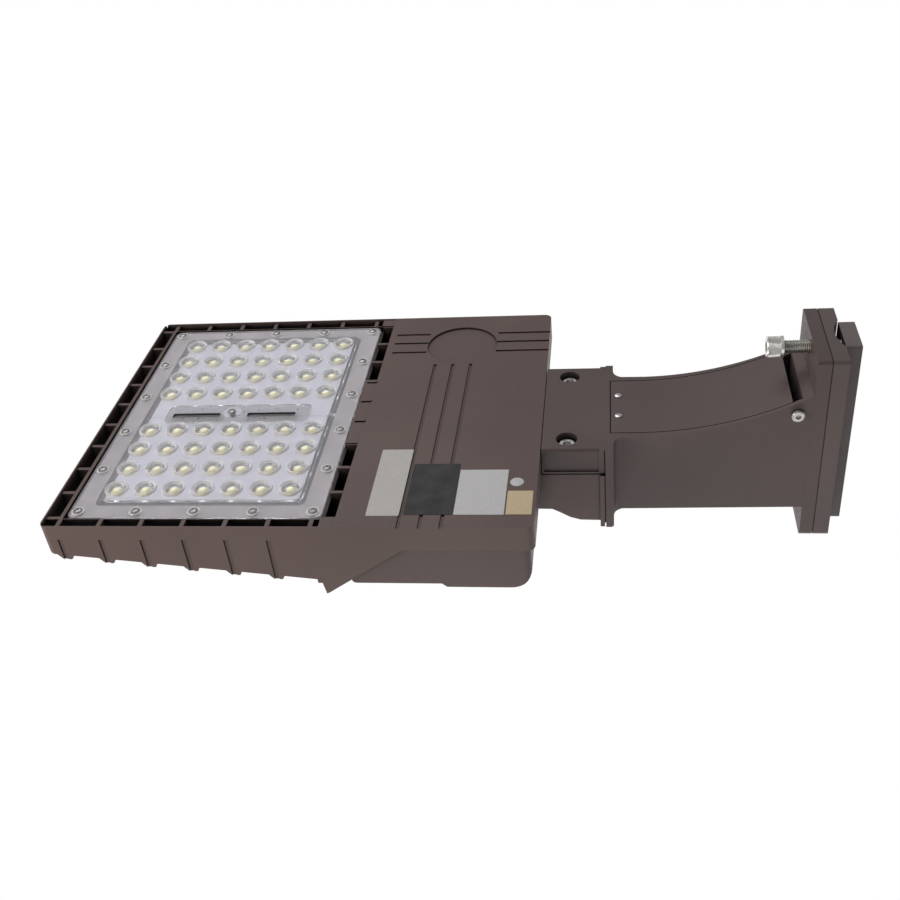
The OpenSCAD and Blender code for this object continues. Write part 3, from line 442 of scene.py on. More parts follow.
class Finishes:
    """All the finishes of the light, each made once."""

    def __init__(self) -> None:
        """Makes every material."""
        # The head's hollow settings give its slots and fins the strongest painted shade.
        self.head = PowderCoat("bronze_coat_head", hollow=0.05, reach=0.02, open_from=0.4, open_to=0.9).material()
        self.cover = PowderCoat("bronze_coat_cover", (0.104, 0.074, 0.069), 0.08, 0.14, 0.44).material()
        self.arm = PowderCoat("bronze_coat_arm", (0.106, 0.079, 0.076), 0.08, 0.17, 0.48).material()
        self.pole = PowderCoat("bronze_coat_pole_plate", (0.124, 0.096, 0.092), 0.09, 0.17, 0.5).material()
        self.bar = PowderCoat("dark_coat_bar", (0.150, 0.128, 0.122), 0.12, 0.2, 0.5).material()
        self.bolt = TurnedSteel("stainless_bolt", (0.80, 0.79, 0.76), 0.32).material()
        self.thread = TurnedSteel("stainless_thread", (0.46, 0.45, 0.42), 0.36).material()
        self.screw = TurnedSteel("zinc_screw", (0.44, 0.42, 0.41), 0.42, (300.0, 300.0, 7000.0)).material()
        self.cap = TurnedSteel("bright_cap_screw", (0.70, 0.69, 0.68), 0.4, (300.0, 300.0, 7000.0)).material()
        self.lens = ClearMoulding("clear_polycarbonate").material()
        self.frosted = ClearMoulding("frosted_polycarbonate", (0.97, 0.97, 1.0), 0.4, 0.55).material()
        # A dark clear finish that paints the shade crescent inside each lens, on one side of its well.
        self.crescent_shade = ClearMoulding("crescent_shade_polycarbonate", (0.26, 0.25, 0.24), 0.4, 0.3).material()
        self.satin = ClearMoulding("satin_polycarbonate", (0.53, 0.52, 0.55), 0.36, 0.5).material()
        self.board = Moulded("white_solder_mask", (0.66, 0.66, 0.72), 0.35, 900.0, 0.00003, 0.12, 0.02).material()
        self.package = Moulded("led_package", (0.84, 0.83, 0.8), 0.4).material()
        self.phosphor = Phosphor("led_phosphor").material()
        self.seal = Moulded("pale_silicone", (0.37, 0.335, 0.325), 0.6, 500.0, 0.00006, 0.2, 0.12).material()
        self.rubber = Moulded("black_rubber", (0.03, 0.03, 0.03), 0.7, 600.0, 0.0001, 0.3, 0.1).material()
        self.case = TurnedSteel("driver_case", (0.58, 0.58, 0.57), 0.4, (200.0, 5000.0, 200.0)).material()
        # Dark plastic of the surge protector and cable gland; on the lens slot walls the same finish is painted shade.
        self.dark_plastic_and_slot_shade = Moulded("dark_plastic_and_slot_shade", (0.045, 0.045, 0.05), 0.5).material()
        self.pale_plastic = Moulded("pale_plastic", (0.75, 0.74, 0.69), 0.45).material()
        self.white_sheath = Moulded("white_sheath", (0.72, 0.70, 0.68), 0.4).material()
        self.black_sheath = Moulded("black_sheath", (0.025, 0.025, 0.027), 0.45).material()
        self.stock_grey = PrintedStock("plate_stock_grey", (0.50, 0.48, 0.46), 0.5).material()
        self.stock_black = PrintedStock("plate_stock_black", (0.020, 0.018, 0.018), 0.62).material()
        self.stock_white = PrintedStock("plate_stock_white", (0.56, 0.55, 0.56), 0.55).material()
        self.stock_tan = PrintedStock("plate_stock_tan", (0.58, 0.46, 0.29), 0.55).material()


# ---- Modelling bench ----------------------------------------------------------


class Bench:
    """Modelling by operators: one piece on the bench at a time."""

    @staticmethod
    def clear() -> None:
        """Leaves edit mode and deselects everything."""
        if bpy.context.object is not None and bpy.context.object.mode != "OBJECT":
            bpy.ops.object.mode_set(mode="OBJECT")
        bpy.ops.object.select_all(action="DESELECT")

    @staticmethod
    def take(*pieces: Piece) -> None:
        """Selects pieces, the first of them active.

        Args:
            pieces: the pieces to work on.
        """
        Bench.clear()
        for piece in pieces:
            piece.select_set(True)
        bpy.context.view_layer.objects.active = pieces[0]

    @staticmethod
    def settle(piece: Piece) -> Piece:
        """Moves a piece's place into its mesh and its object to the origin.

        Args:
            piece: the piece.

        Returns:
            The same piece.
        """
        Bench.take(piece)
        bpy.ops.object.transform_apply(location=True, rotation=True, scale=True)
        return piece

    @staticmethod
    def named(name: str) -> Piece:
        """Names the active piece and its mesh.

        Args:
            name: the new name.

        Returns:
            The piece.
        """
        piece = bpy.context.active_object
        piece.name = name
        piece.data.name = name
        return piece

    @staticmethod
    def block(name: str, low: Point, high: Point) -> Piece:
        """A block given by its limits.

        Args:
            name: the piece's name.
            low: lowest corner, metres.
            high: highest corner, metres.

        Returns:
            The block, settled.
        """
        Bench.clear()
        middle = [(a + b) / 2 for a, b in zip(low, high)]
        bpy.ops.mesh.primitive_cube_add(size=1.0, location=middle)
        piece = Bench.named(name)
        piece.scale = [b - a for a, b in zip(low, high)]
        return Bench.settle(piece)

    @staticmethod
    def disc(name: str, centre: Point, radius: float, depth: float, sides: int) -> Piece:
        """An upright cylinder.

        Args:
            name: the piece's name.
            centre: middle of the cylinder.
            radius: its radius.
            depth: its length.
            sides: its number of sides.

        Returns:
            The cylinder, settled.
        """
        Bench.clear()
        bpy.ops.mesh.primitive_cylinder_add(vertices=sides, radius=radius, depth=depth, location=centre)
        return Bench.settle(Bench.named(name))

    @staticmethod
    def turned(name: str, profile: Sequence[tuple[float, float]], steps: int) -> Piece:
        """Turns a profile about the Z axis, as on a lathe.

        Args:
            name: the piece's name.
            profile: (radius, height) points, metres; the first and last may lie on the axis.
            steps: steps of a full turn.

        Returns:
            The closed, turned piece at the origin.
        """
        Bench.clear()
        bpy.ops.mesh.primitive_plane_add(size=0.001)
        piece = Bench.named(name)
        bpy.ops.object.mode_set(mode="EDIT")
        bpy.ops.mesh.select_mode(type="VERT")
        bpy.ops.mesh.select_all(action="SELECT")
        bpy.ops.mesh.merge(type="CENTER")
        bpy.ops.transform.translate(value=(profile[0][0], 0.0, profile[0][1]))
        for (r0, h0), (r1, h1) in zip(profile, profile[1:]):
            bpy.ops.mesh.extrude_region_move(TRANSFORM_OT_translate={"value": (r1 - r0, 0.0, h1 - h0)})
        bpy.ops.mesh.select_all(action="SELECT")
        bpy.ops.mesh.spin(steps=steps, angle=math.tau, center=(0, 0, 0), axis=(0, 0, 1))
        bpy.ops.mesh.select_all(action="SELECT")
        bpy.ops.mesh.remove_doubles(threshold=1e-6)
        bpy.ops.mesh.normals_make_consistent(inside=False)
        bpy.ops.object.mode_set(mode="OBJECT")
        return piece

    @staticmethod
    def edit(piece: Piece, kind: str) -> bmesh.types.BMesh:
        """Enters edit mode with nothing selected.

        Args:
            piece: the piece.
            kind: VERT, EDGE or FACE.

        Returns:
            Its edit mesh.
        """
        Bench.take(piece)
        bpy.ops.object.mode_set(mode="EDIT")
        bpy.ops.mesh.select_mode(type=kind)
        bpy.ops.mesh.select_all(action="DESELECT")
        return bmesh.from_edit_mesh(piece.data)

    @staticmethod
    def pick_faces(piece: Piece, test: FaceTest) -> None:
        """Enters edit mode with the faces that pass a test selected.

        Args:
            piece: the piece.
            test: says of a face whether it is selected.
        """
        for face in Bench.edit(piece, "FACE").faces:
            face.select_set(test(face))
        bmesh.update_edit_mesh(piece.data)

    @staticmethod
    def pick_points(piece: Piece, test: Callable[[Vector], bool]) -> None:
        """Enters edit mode with the points that pass a test selected.

        Args:
            piece: the piece.
            test: says of a place whether its point is selected.
        """
        mesh = Bench.edit(piece, "VERT")
        for point in mesh.verts:
            point.select_set(test(point.co))
        mesh.select_flush(True)
        bmesh.update_edit_mesh(piece.data)

    @staticmethod
    def round_corners(piece: Piece, radius: float, segments: int = 4) -> None:
        """Rounds the upright edges of a piece.

        Args:
            piece: the piece.
            radius: the round's radius, metres.
            segments: its number of facets.
        """
        for edge in Bench.edit(piece, "EDGE").edges:
            if abs((edge.verts[0].co - edge.verts[1].co).normalized().z) > 0.9:
                edge.select_set(True)
        bmesh.update_edit_mesh(piece.data)
        bpy.ops.mesh.bevel(offset=radius, segments=segments, affect="EDGES")
        Bench.done()

    @staticmethod
    def step(piece: Piece, side: int, width: float, move: float) -> None:
        """Insets the faces on one side and moves them along Z, to a step.

        Args:
            piece: the piece.
            side: 1 for faces that look up, -1 for faces that look down.
            width: the step's width, metres.
            move: how far the inner face moves along Z, metres.
        """
        Bench.pick_faces(piece, lambda face: side * face.normal.z > 0.9)
        bpy.ops.mesh.inset(thickness=width)
        bpy.ops.mesh.extrude_region_move(TRANSFORM_OT_translate={"value": (0, 0, move)})
        Bench.done()

    @staticmethod
    def done() -> None:
        """Leaves edit mode."""
        bpy.ops.object.mode_set(mode="OBJECT")

    @staticmethod
    def round_edges(piece: Piece, width: float, segments: int = 2, angle: float = 30.0) -> None:
        """Rounds the sharp edges of a piece with an applied Bevel modifier.

        Args:
            piece: the piece.
            width: the round's width, metres.
            segments: its number of facets.
            angle: edges sharper than this many degrees are rounded.
        """
        Bench.take(piece)
        bevel = piece.modifiers.new("round", "BEVEL")
        bevel.limit_method = "ANGLE"
        bevel.angle_limit = math.radians(angle)
        bevel.width = width
        bevel.segments = segments
        bevel.use_clamp_overlap = True
        bevel.miter_outer = "MITER_SHARP"
        bpy.ops.object.modifier_apply(modifier=bevel.name)

    @staticmethod
    def combine(piece: Piece, tool: Piece, operation: str) -> None:
        """Applies a Boolean of a tool to a piece and removes the tool.

        Args:
            piece: the piece that stays.
            tool: the piece that is used up.
            operation: UNION, DIFFERENCE or INTERSECT.
        """
        Bench.take(piece)
        cut = piece.modifiers.new("cut", "BOOLEAN")
        cut.operation = operation
        cut.solver = "EXACT"
        cut.object = tool
        bpy.ops.object.modifier_apply(modifier=cut.name)
        bpy.data.objects.remove(tool, do_unlink=True)

    @staticmethod
    def smooth(piece: Piece, angle: float = 30.0) -> None:
        """Shades a piece smooth but for edges sharper than an angle.

        Args:
            piece: the piece.
            angle: the limit in degrees.
        """
        Bench.take(piece)
        bpy.ops.object.shade_smooth_by_angle(angle=math.radians(angle))

    @staticmethod
    def second_finish(piece: Piece, finish: Material, test: Callable[[Polygon], bool]) -> None:
        """Gives some faces of a dressed piece a second finish.

        Args:
            piece: the piece.
            finish: the second finish.
            test: says of a face whether it gets it.
        """
        piece.data.materials.append(finish)
        for face in piece.data.polygons:
            if test(face):
                face.material_index = len(piece.data.materials) - 1

    @staticmethod
    def even_shading(piece: Piece) -> None:
        """Keeps large faces flat beside their rounds, by normals weighted with the faces' areas."""
        Bench.take(piece)
        even = piece.modifiers.new("even", "WEIGHTED_NORMAL")
        even.mode = "FACE_AREA"
        even.weight = 60
        even.keep_sharp = True
        bpy.ops.object.modifier_apply(modifier=even.name)

    @staticmethod
    def copies(piece: Piece, places: Sequence[Matrix], name: str) -> Piece:
        """Copies a piece to each place, each copy with its own mesh, and joins them.

        Args:
            piece: the piece, at the origin; it is used up.
            places: where each copy goes.
            name: the joined piece's name.

        Returns:
            The joined piece.
        """
        made = []
        for place in places:
            twin = piece.copy()
            twin.data = piece.data.copy()
            twin.data.transform(place)
            bpy.context.scene.collection.objects.link(twin)
            made.append(twin)
        bpy.data.objects.remove(piece, do_unlink=True)
        Bench.take(*made)
        bpy.ops.object.join()
        return Bench.named(name)

    @staticmethod
    def from_node(node: str, name: str) -> Piece:
        """A merged copy of a CAD node, with its flat faces made whole again.

        Args:
            node: the CAD node.
            name: the copy's name.

        Returns:
            The copy.
        """
        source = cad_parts[node]
        piece = bpy.data.objects.new(name, source.data.copy())
        bpy.context.scene.collection.objects.link(piece)
        piece.data.name = name
        piece.data.materials.clear()
        Bench.take(piece)
        bpy.ops.object.mode_set(mode="EDIT")
        bpy.ops.mesh.select_all(action="SELECT")
        bpy.ops.mesh.remove_doubles(threshold=0.02 * MM)
        bpy.ops.mesh.dissolve_limited(angle_limit=math.radians(0.8))
        bpy.ops.object.mode_set(mode="OBJECT")
        if piece.data.has_custom_normals:
            bpy.ops.mesh.customdata_custom_splitnormals_clear()
        return piece


def dress(
    piece: Piece, finish: Material, body: Body, replaces: Sequence[str] = ()
) -> None:
    """Gives a new piece its finish, its body and the CAD nodes it stands for.

    Args:
        piece: the piece.
        finish: its material.
        body: the body it rides on.
        replaces: CAD nodes it replaces.
    """
    piece.data.materials.clear()
    piece.data.materials.append(finish)
    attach(piece, body.value)
    if replaces:
        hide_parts(*replaces)
    LOG.info("%s: %d faces on %s", piece.name, len(piece.data.polygons), body.value)


def paint(node: str, finish: Material) -> None:
    """Gives a CAD node that stays its finish.

    Args:
        node: the node's name.
        finish: its material.
    """
    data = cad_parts[node].data
    if not data.materials:
        data.materials.append(finish)
    for index in range(len(data.materials)):
        data.materials[index] = finish
    LOG.info("%s: kept from the frame", node)


# ---- Sub-assemblies -----------------------------------------------------------


@dataclass
class Casting:
    """A cast or pressed part of the frame, with the small rounds that its edges have."""

    node: str
    name: str
    body: Body
    edge: float
    segments: int = 2
    angle: float = 28.0

    def build(self, finish: Material) -> None:
        """Copies the node, rounds its edges and dresses it.

        Args:
            finish: its material.
        """
        piece = Bench.from_node(self.node, self.name)
        Bench.round_edges(piece, self.edge, self.segments, self.angle)
        Bench.smooth(piece, 32.0)
        Bench.even_shading(piece)
        dress(piece, finish, self.body, [self.node])


@dataclass
class LensPanel:
    """The clear moulding with its lenses, and the boards and LEDs behind it."""

    pitch_x: float = 22.87 * MM
    pitch_y: float = 26.15 * MM
    half_middle: float = 26.85 * MM
    columns: int = 7
    rows: int = 4
    flange: float = 17.8 * MM
    lens_radius: float = 9.3 * MM
    strip: float = 123.0 * MM
    slot_y: float = -4.4 * MM
    slot_half: float = 2.9 * MM
    slot_half_length: float = 20.5 * MM
    slot_middles: tuple[float, float] = (-28.5 * MM, 36.0 * MM)
    middle_screw: tuple[float, float] = (6 * MM, -1 * MM)
    steps: int = 28
    screw_inset: float = 7.0 * MM
    boss_radius: float = 5.2 * MM
    centre_x: float = field(init=False)
    low: Vector = field(init=False)
    high: Vector = field(init=False)
    field_z: float = field(init=False)

    def __post_init__(self) -> None:
        """Reads the panel's place from the frame."""
        self.low, self.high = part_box("lens_gasket")
        plate_low, plate_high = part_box("lens_plate")
        self.low = Vector((plate_low.x, plate_low.y, plate_high.z - 3.0 * MM))
        self.high = plate_high
        self.centre_x = (self.low.x + self.high.x) / 2
        self.field_z = self.low.z - 2.0 * MM

    def places(self, z: float) -> list[Matrix]:
        """The place of every lens.

        Args:
            z: the height of the places.

        Returns:
            One translation per lens.
        """
        found = []
        for column in range(self.columns):
            x = self.centre_x + (column - (self.columns - 1) / 2) * self.pitch_x
            for row in range(self.rows):
                for side in (-1, 1):
                    found.append(Matrix.Translation((x, side * (self.half_middle + row * self.pitch_y), z)))
        return found

    def screw_places(self, z: float) -> list[Matrix]:
        """The place of every screw round the flange.

        Args:
            z: the height of the places.

        Returns:
            One translation per screw.
        """
        half_x, half_y = (self.high.x - self.low.x) / 2 - self.screw_inset, self.high.y - self.screw_inset
        spots = [(i / 2 * half_x, s * half_y) for i in range(-2, 3) for s in (-1, 1)]
        spots += [(s * half_x, j / 5 * half_y) for j in range(-3, 4, 2) for s in (-1, 1)]
        return [Matrix.Translation((self.centre_x + x, y, z)) for x, y in spots]

    def screw_boss(self) -> Piece:
        """Turns the low round boss that a screw's head sits in."""
        r = self.boss_radius
        profile = [(0.0, 0.5 * MM), (r, 0.5 * MM), (r - 0.1 * MM, -0.4 * MM), (r - 0.5 * MM, -0.7 * MM),
                   (r - 1.4 * MM, -0.7 * MM), (r - 1.6 * MM, 0.1 * MM), (0.0, 0.1 * MM)]
        return Bench.turned("screw_boss", profile, 24)

    def moulding(self, finishes: Finishes) -> None:
        """Models the clear plate: flange, raised field, sunk middle strip, slots, bosses and lenses.

        Args:
            finishes: the light's finishes.
        """
        plate = Bench.block("lens_moulding", tuple(self.low), tuple(self.high))
        Bench.step(plate, -1, self.flange, -2.0 * MM)
        Bench.step(plate, 1, self.flange + 2 * MM, -2.0 * MM)
        Bench.round_corners(plate, 5 * MM, 5)
        Bench.round_edges(plate, 0.45 * MM, 2, 35.0)
        strip = Bench.block(
            "strip",
            (self.centre_x - self.strip / 2, self.slot_y - 12.4 * MM, self.field_z - 2 * MM),
            (self.centre_x + self.strip / 2, self.slot_y + 13.6 * MM, self.field_z + 0.8 * MM),
        )
        Bench.round_corners(strip, 6 * MM, 6)
        Bench.combine(plate, strip, "DIFFERENCE")
        self.cut_slots(plate, self.slot_half, self.slot_half_length)
        mm = [(0.0, 1.0), (8.5, 1.0), (8.0, -0.25), (6.2, -0.45), (0.0, -0.45)]
        boss = Bench.turned("boss", [(r * MM, z * MM) for r, z in mm], 32)
        boss.location = (self.centre_x + self.middle_screw[0], self.middle_screw[1], self.field_z + 0.8 * MM)
        Bench.combine(plate, Bench.settle(boss), "UNION")
        bosses = Bench.copies(self.screw_boss(), self.screw_places(self.low.z), "screw_bosses")
        Bench.combine(plate, bosses, "UNION")
        lenses = Bench.copies(self.lens(), self.places(self.field_z), "lenses")
        Bench.combine(plate, lenses, "UNION")
        wells = Bench.copies(self.well(), self.places(self.field_z), "wells")
        Bench.combine(plate, wells, "DIFFERENCE")
        Bench.smooth(plate, 38.0)
        Bench.even_shading(plate)
        dress(plate, finishes.lens, Body.FIXTURE, ["lens_plate"])
        centres = [place.translation for place in self.places(self.field_z)]
        screws = [place.translation for place in self.screw_places(self.low.z)]

        def frosted(face: Polygon) -> bool:
            """True for the faces of a lens's lip and of a screw's boss."""
            at = face.center
            if at.z > self.low.z - 0.05 * MM:
                return False
            if any(math.hypot(at.x - s.x, at.y - s.y) < self.boss_radius + 0.1 * MM for s in screws):
                return True
            if at.z > self.field_z - 0.05 * MM:
                return False
            gap = min(math.hypot(at.x - c.x, at.y - c.y) for c in centres)
            return self.lens_radius - 2.2 * MM < gap < self.lens_radius + 0.1 * MM

        def painted_crescent_faces(face: Polygon) -> bool:
            """True for the nose side of the wall of a lens's well, which throws the light along the road; its dark
            clear finish is painted shade, the dark crescent inside each lens.
            """
            near = min(centres, key=lambda c: math.hypot(face.center.x - c.x, face.center.y - c.y))
            x, y = face.center.x - near.x, face.center.y - near.y
            wall = 4.4 * MM < math.hypot(x, y) < 6.1 * MM and abs(face.center.z - self.field_z) < 3.4 * MM
            nose_side = abs(math.atan2(y, x) - math.radians(15)) < math.radians(75)
            return wall and abs(face.normal.z) < 0.9 and nose_side and face.normal.x < 0

        def sunk(face: Polygon) -> bool:
            """True for the floor of the sunk strip."""
            at = face.center
            inside = abs(at.x - self.centre_x) < self.strip / 2 and abs(at.y - self.slot_y - 0.6 * MM) < 13.1 * MM
            return inside and face.normal.z < -0.9 and abs(at.z - self.field_z - 0.8 * MM) < 0.1 * MM

        def painted_slot_shade_walls(face: Polygon) -> bool:
            """True for the walls of the two slots, which get the dark finish as painted shade."""
            at = face.center
            level = abs(face.normal.z) < 0.3 and at.z > self.field_z + 0.8 * MM
            inside = abs(at.y - self.slot_y) < self.slot_half + 0.1 * MM
            return level and inside and abs(at.x - self.centre_x - 3.75 * MM) < 53 * MM

        Bench.second_finish(plate, finishes.frosted, frosted)
        # Painted shade: the nose side of each well wall gets the dark clear finish as the lens's shade crescent.
        Bench.second_finish(plate, finishes.crescent_shade, painted_crescent_faces)
        Bench.second_finish(plate, finishes.satin, sunk)
        # Painted shade: the slot walls get the dark finish where the slots lie in shade.
        Bench.second_finish(plate, finishes.dark_plastic_and_slot_shade, painted_slot_shade_walls)

    def cut_slots(self, piece: Piece, half_width: float, half_length: float) -> None:
        """Cuts the two air slots of the middle strip through a piece.

        Args:
            piece: the piece.
            half_width: half the width of a slot.
            half_length: half its length.
        """
        for middle in self.slot_middles:
            slot = Bench.block(
                "slot",
                (self.centre_x + middle - half_length, self.slot_y - half_width, self.field_z - 1 * MM),
                (self.centre_x + middle + half_length, self.slot_y + half_width, self.high.z + 3 * MM),
            )
            Bench.round_corners(slot, 1.5 * MM)
            Bench.combine(piece, slot, "DIFFERENCE")

    def lens(self) -> Piece:
        """Turns one lens: a raised lip, a groove inside it, and the crowned middle.

        Returns:
            The lens, with its foot sunk in the field.
        """
        r = self.lens_radius
        profile = [(0.0, 0.6 * MM), (r, 0.6 * MM), (r - 0.1 * MM, -1.0 * MM), (r - 0.4 * MM, -1.8 * MM),
                   (r - 1.0 * MM, -2.15 * MM), (r - 1.6 * MM, -1.95 * MM), (r - 2.0 * MM, -1.4 * MM),
                   (r - 2.3 * MM, -1.1 * MM)]
        crown, height = r - 2.4 * MM, 3.5 * MM
        for step in range(1, 9):
            angle = math.radians(20 + 70 * step / 8)
            profile.append((crown * math.cos(angle), -height * math.sin(angle)))
        profile[-1] = (0.0, -height)
        return Bench.turned("lens", profile, self.steps)

    def well(self) -> Piece:
        """Turns the hollow behind one lens, into which the LED's dome reaches."""
        mm = [(0.0, 3.6), (6.0, 3.6), (5.9, 2.2), (5.7, 0.8), (5.2, -0.3), (4.2, -1.1), (2.5, -1.55), (0.0, -1.7)]
        return Bench.turned("well", [(r * MM, z * MM) for r, z in mm], 24)

    def screws(self, finish: Material) -> None:
        """Models the cross-recessed screws round the flange and the one in the middle.

        Args:
            finish: their material.
        """
        mm = [(0.0, 0.4), (3.3, 0.4), (3.3, -0.5), (3.05, -1.2), (2.4, -1.75), (1.2, -2.05), (0.0, -2.1)]
        screw = Bench.turned("screw", [(r * MM, z * MM) for r, z in mm], 24)
        for reach in ((1.9 * MM, 0.38 * MM), (0.38 * MM, 1.9 * MM)):
            blade = Bench.block("blade", (-reach[0], -reach[1], -2.6 * MM), (reach[0], reach[1], -1.0 * MM))
            Bench.combine(screw, blade, "DIFFERENCE")
        spots = self.screw_places(self.low.z)
        middle = (self.centre_x + self.middle_screw[0], self.middle_screw[1], self.field_z + 0.35 * MM)
        spots.append(Matrix.Translation(middle))
        turned = [spot @ Matrix.Rotation(math.radians(20 + 37 * index), 4, "Z") for index, spot in enumerate(spots)]
        screws = Bench.copies(screw, turned, "lens_screws_fine")
        Bench.smooth(screws, 30.0)
        dress(screws, finish, Body.FIXTURE, ["lens_screws"])

    def leds(self, body_finish: Material, glow_finish: Material) -> None:
        """Models the LED packages and the yellow domes on them.

        Args:
            body_finish: material of the packages.
            glow_finish: material of the phosphor domes.
        """
        low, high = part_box("led_chips")
        base = Bench.block("package", (-3.5 * MM, -3.5 * MM, 0.0), (3.5 * MM, 3.5 * MM, high.z - low.z))
        Bench.step(base, -1, 0.4 * MM, 0.15 * MM)
        Bench.round_edges(base, 0.12 * MM, 1, 30.0)
        packages = Bench.copies(base, self.places(low.z), "led_packages")
        Bench.smooth(packages)
        dress(packages, body_finish, Body.FIXTURE, ["led_chips"])
        mm = [(0.0, 0.3), (4.6, 0.3), (4.6, -0.8), (4.35, -1.9), (3.7, -2.9), (2.6, -3.6), (1.3, -4.05), (0.0, -4.2)]
        profile = [(r * MM, z * MM) for r, z in mm]
        dome = Bench.turned("phosphor", profile, 20)
        domes = Bench.copies(dome, self.places(low.z), "led_phosphor_domes")
        Bench.smooth(domes, 40.0)
        dress(domes, glow_finish, Body.FIXTURE)

    def build(self, finishes: Finishes) -> None:
        """Builds and dresses the whole panel.

        Args:
            finishes: the light's finishes.
        """
        self.moulding(finishes)
        self.screws(finishes.screw)
        self.leds(finishes.package, finishes.phosphor)
        for node in ("led_board_left", "led_board_right"):
            board = Bench.from_node(node, f"{node}_fine")
            self.cut_slots(board, self.slot_half + 2.2 * MM, self.slot_half_length + 2 * MM)
            Bench.smooth(board, 20.0)
            dress(board, finishes.board, Body.FIXTURE, [node])
        paint("lens_gasket", finishes.seal)


@dataclass
class BarePlates:
    """The bare plates and the round sticker on the lens side, with nothing printed on them."""

    face_z: float = -18.5 * MM
    thickness: float = 0.22 * MM

    def plate(
        self, name: str, x: tuple[float, float], y: tuple[float, float], round_by: float, finish: Material
    ) -> None:
        """Models one plate with round corners and a turned-down edge.

        Args:
            name: its name.
            x: its limits along the light, mm.
            y: its limits across the light, mm.
            round_by: corner radius, mm.
            finish: its material.
        """
        piece = Bench.block(
            name, (x[0] * MM, y[0] * MM, self.face_z - self.thickness), (x[1] * MM, y[1] * MM, self.face_z + 0.05 * MM)
        )
        Bench.round_corners(piece, round_by * MM)
        Bench.step(piece, -1, 0.35 * MM, -0.05 * MM)
        Bench.smooth(piece)
        dress(piece, finish, Body.FIXTURE)

    def build(self, finishes: Finishes) -> None:
        """Builds the four plates and the sticker.

        Args:
            finishes: the light's finishes.
        """
        self.plate("bare_plate_grey", (319.9, 344.3), (-137.0, -56.6), 0.8, finishes.stock_grey)
        self.plate("bare_plate_black", (281.3, 316.8), (-135.7, -75.3), 1.2, finishes.stock_black)
        self.plate("bare_plate_white", (244.5, 280.6), (-135.7, -83.0), 0.6, finishes.stock_white)
        self.plate("bare_plate_tan", (224.9, 243.4), (-135.3, -108.4), 0.6, finishes.stock_tan)
        round_plate = Bench.turned(
            "bare_sticker_round",
            [(0.0, 0.05 * MM), (5.0 * MM, 0.05 * MM), (5.0 * MM, -0.12 * MM), (4.8 * MM, -0.2 * MM), (0.0, -0.22 * MM)],
            40,
        )
        round_plate.location = (237.5 * MM, -97.8 * MM, self.face_z)
        Bench.settle(round_plate)
        Bench.smooth(round_plate)
        dress(round_plate, finishes.stock_white, Body.FIXTURE)


@dataclass
class PoleBolt:
    """A socket head bolt with a knurled head and a thread turned as rings, on its own body."""

    node: str
    body: Body
    shank_radius: float = 5.0 * MM
    head_radius: float = 8.0 * MM
    head_height: float = 10.0 * MM
    pitch: float = 1.5 * MM
    flutes: int = 48

    def head(self) -> Piece:
        """Models the knurled head with its key socket, along +Z from the origin.

        Returns:
            The head.
        """
        sides = self.flutes * 2
        piece = Bench.disc(f"{self.node}_fine", (0, 0, self.head_height / 2), self.head_radius, self.head_height, sides)
        Bench.pick_faces(piece, lambda f: f.normal.z > 0.9)
        bpy.ops.mesh.inset(thickness=0.9 * MM)
        Bench.done()
        Bench.take(piece)
        bpy.ops.object.mode_set(mode="EDIT")
        bpy.ops.mesh.select_all(action="SELECT")
        rim = self.head_height - 0.7 * MM
        bpy.ops.mesh.bisect(plane_co=(0, 0, rim), plane_no=(0, 0, 1))
        bpy.ops.mesh.select_all(action="SELECT")
        bpy.ops.mesh.bisect(plane_co=(0, 0, 1.4 * MM), plane_no=(0, 0, 1))
        Bench.done()

        def outside(at: Vector) -> bool:
            """True for a point on the head's outer wall."""
            return math.hypot(at.x, at.y) > self.head_radius - 0.1 * MM

        def flute(at: Vector) -> bool:
            """True for every second line of points of the knurled band."""
            turn = round(math.atan2(at.y, at.x) / math.tau * sides)
            return outside(at) and turn % 2 == 1 and 1.2 * MM < at.z < rim + 0.1 * MM

        for test, depth in (
            (flute, 0.42 * MM),
            (lambda at: outside(at) and at.z > rim + 0.1 * MM, 0.75 * MM),
            (lambda at: outside(at) and at.z < 0.1 * MM, 0.1 * MM),
        ):
            Bench.pick_points(piece, test)
            factor = (self.head_radius - depth) / self.head_radius
            bpy.ops.transform.resize(value=(factor, factor, 1.0), center_override=(0.0, 0.0, 0.0))
            Bench.done()
        key_radius = 4.0 * MM / math.cos(math.radians(30))
        socket = Bench.disc("socket", (0, 0, self.head_height), key_radius, self.head_height, 6)
        Bench.combine(piece, socket, "DIFFERENCE")
        return piece

    def shank(self, length: float) -> Piece:
        """Turns the shank with its thread, along -Z from the origin.

        Args:
            length: the shank's length.

        Returns:
            The shank.
        """
        root = self.shank_radius - 0.62 * MM
        profile = [(0.0, 0.2 * MM), (self.shank_radius - 0.1 * MM, 0.2 * MM), (self.shank_radius - 0.1 * MM, -1.0 * MM)]
        at = 1.4 * MM
        while at < length - 2.2 * MM:
            crest = [(self.shank_radius, -at - self.pitch * part) for part in (0.42, 0.58)]
            profile += [(root, -at), *crest]
            at += self.pitch
        profile += [(root, -length + 1.2 * MM), (root - 0.5 * MM, -length), (0.0, -length)]
        return Bench.turned("shank", profile, 32)

    def build(self, finish: Material, thread_finish: Material) -> None:
        """Builds the bolt in its place and dresses it.

        Args:
            finish: material of the head.
            thread_finish: material of the threaded shank.
        """
        low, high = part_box(self.node)
        head = self.head()
        shank = self.shank(high.x - low.x - self.head_height)
        Bench.take(head, shank)
        bpy.ops.object.join()
        piece = Bench.named(f"{self.node}_fine")
        place = Matrix.Translation((high.x - self.head_height, 0, (low.z + high.z) / 2))
        piece.data.transform(place @ Matrix.Rotation(math.pi / 2, 4, "Y"))
        Bench.smooth(piece, 24.0)
        dress(piece, finish, self.body, [self.node])
        Bench.second_finish(piece, thread_finish, lambda face: face.center.x < high.x - self.head_height - 0.5 * MM)


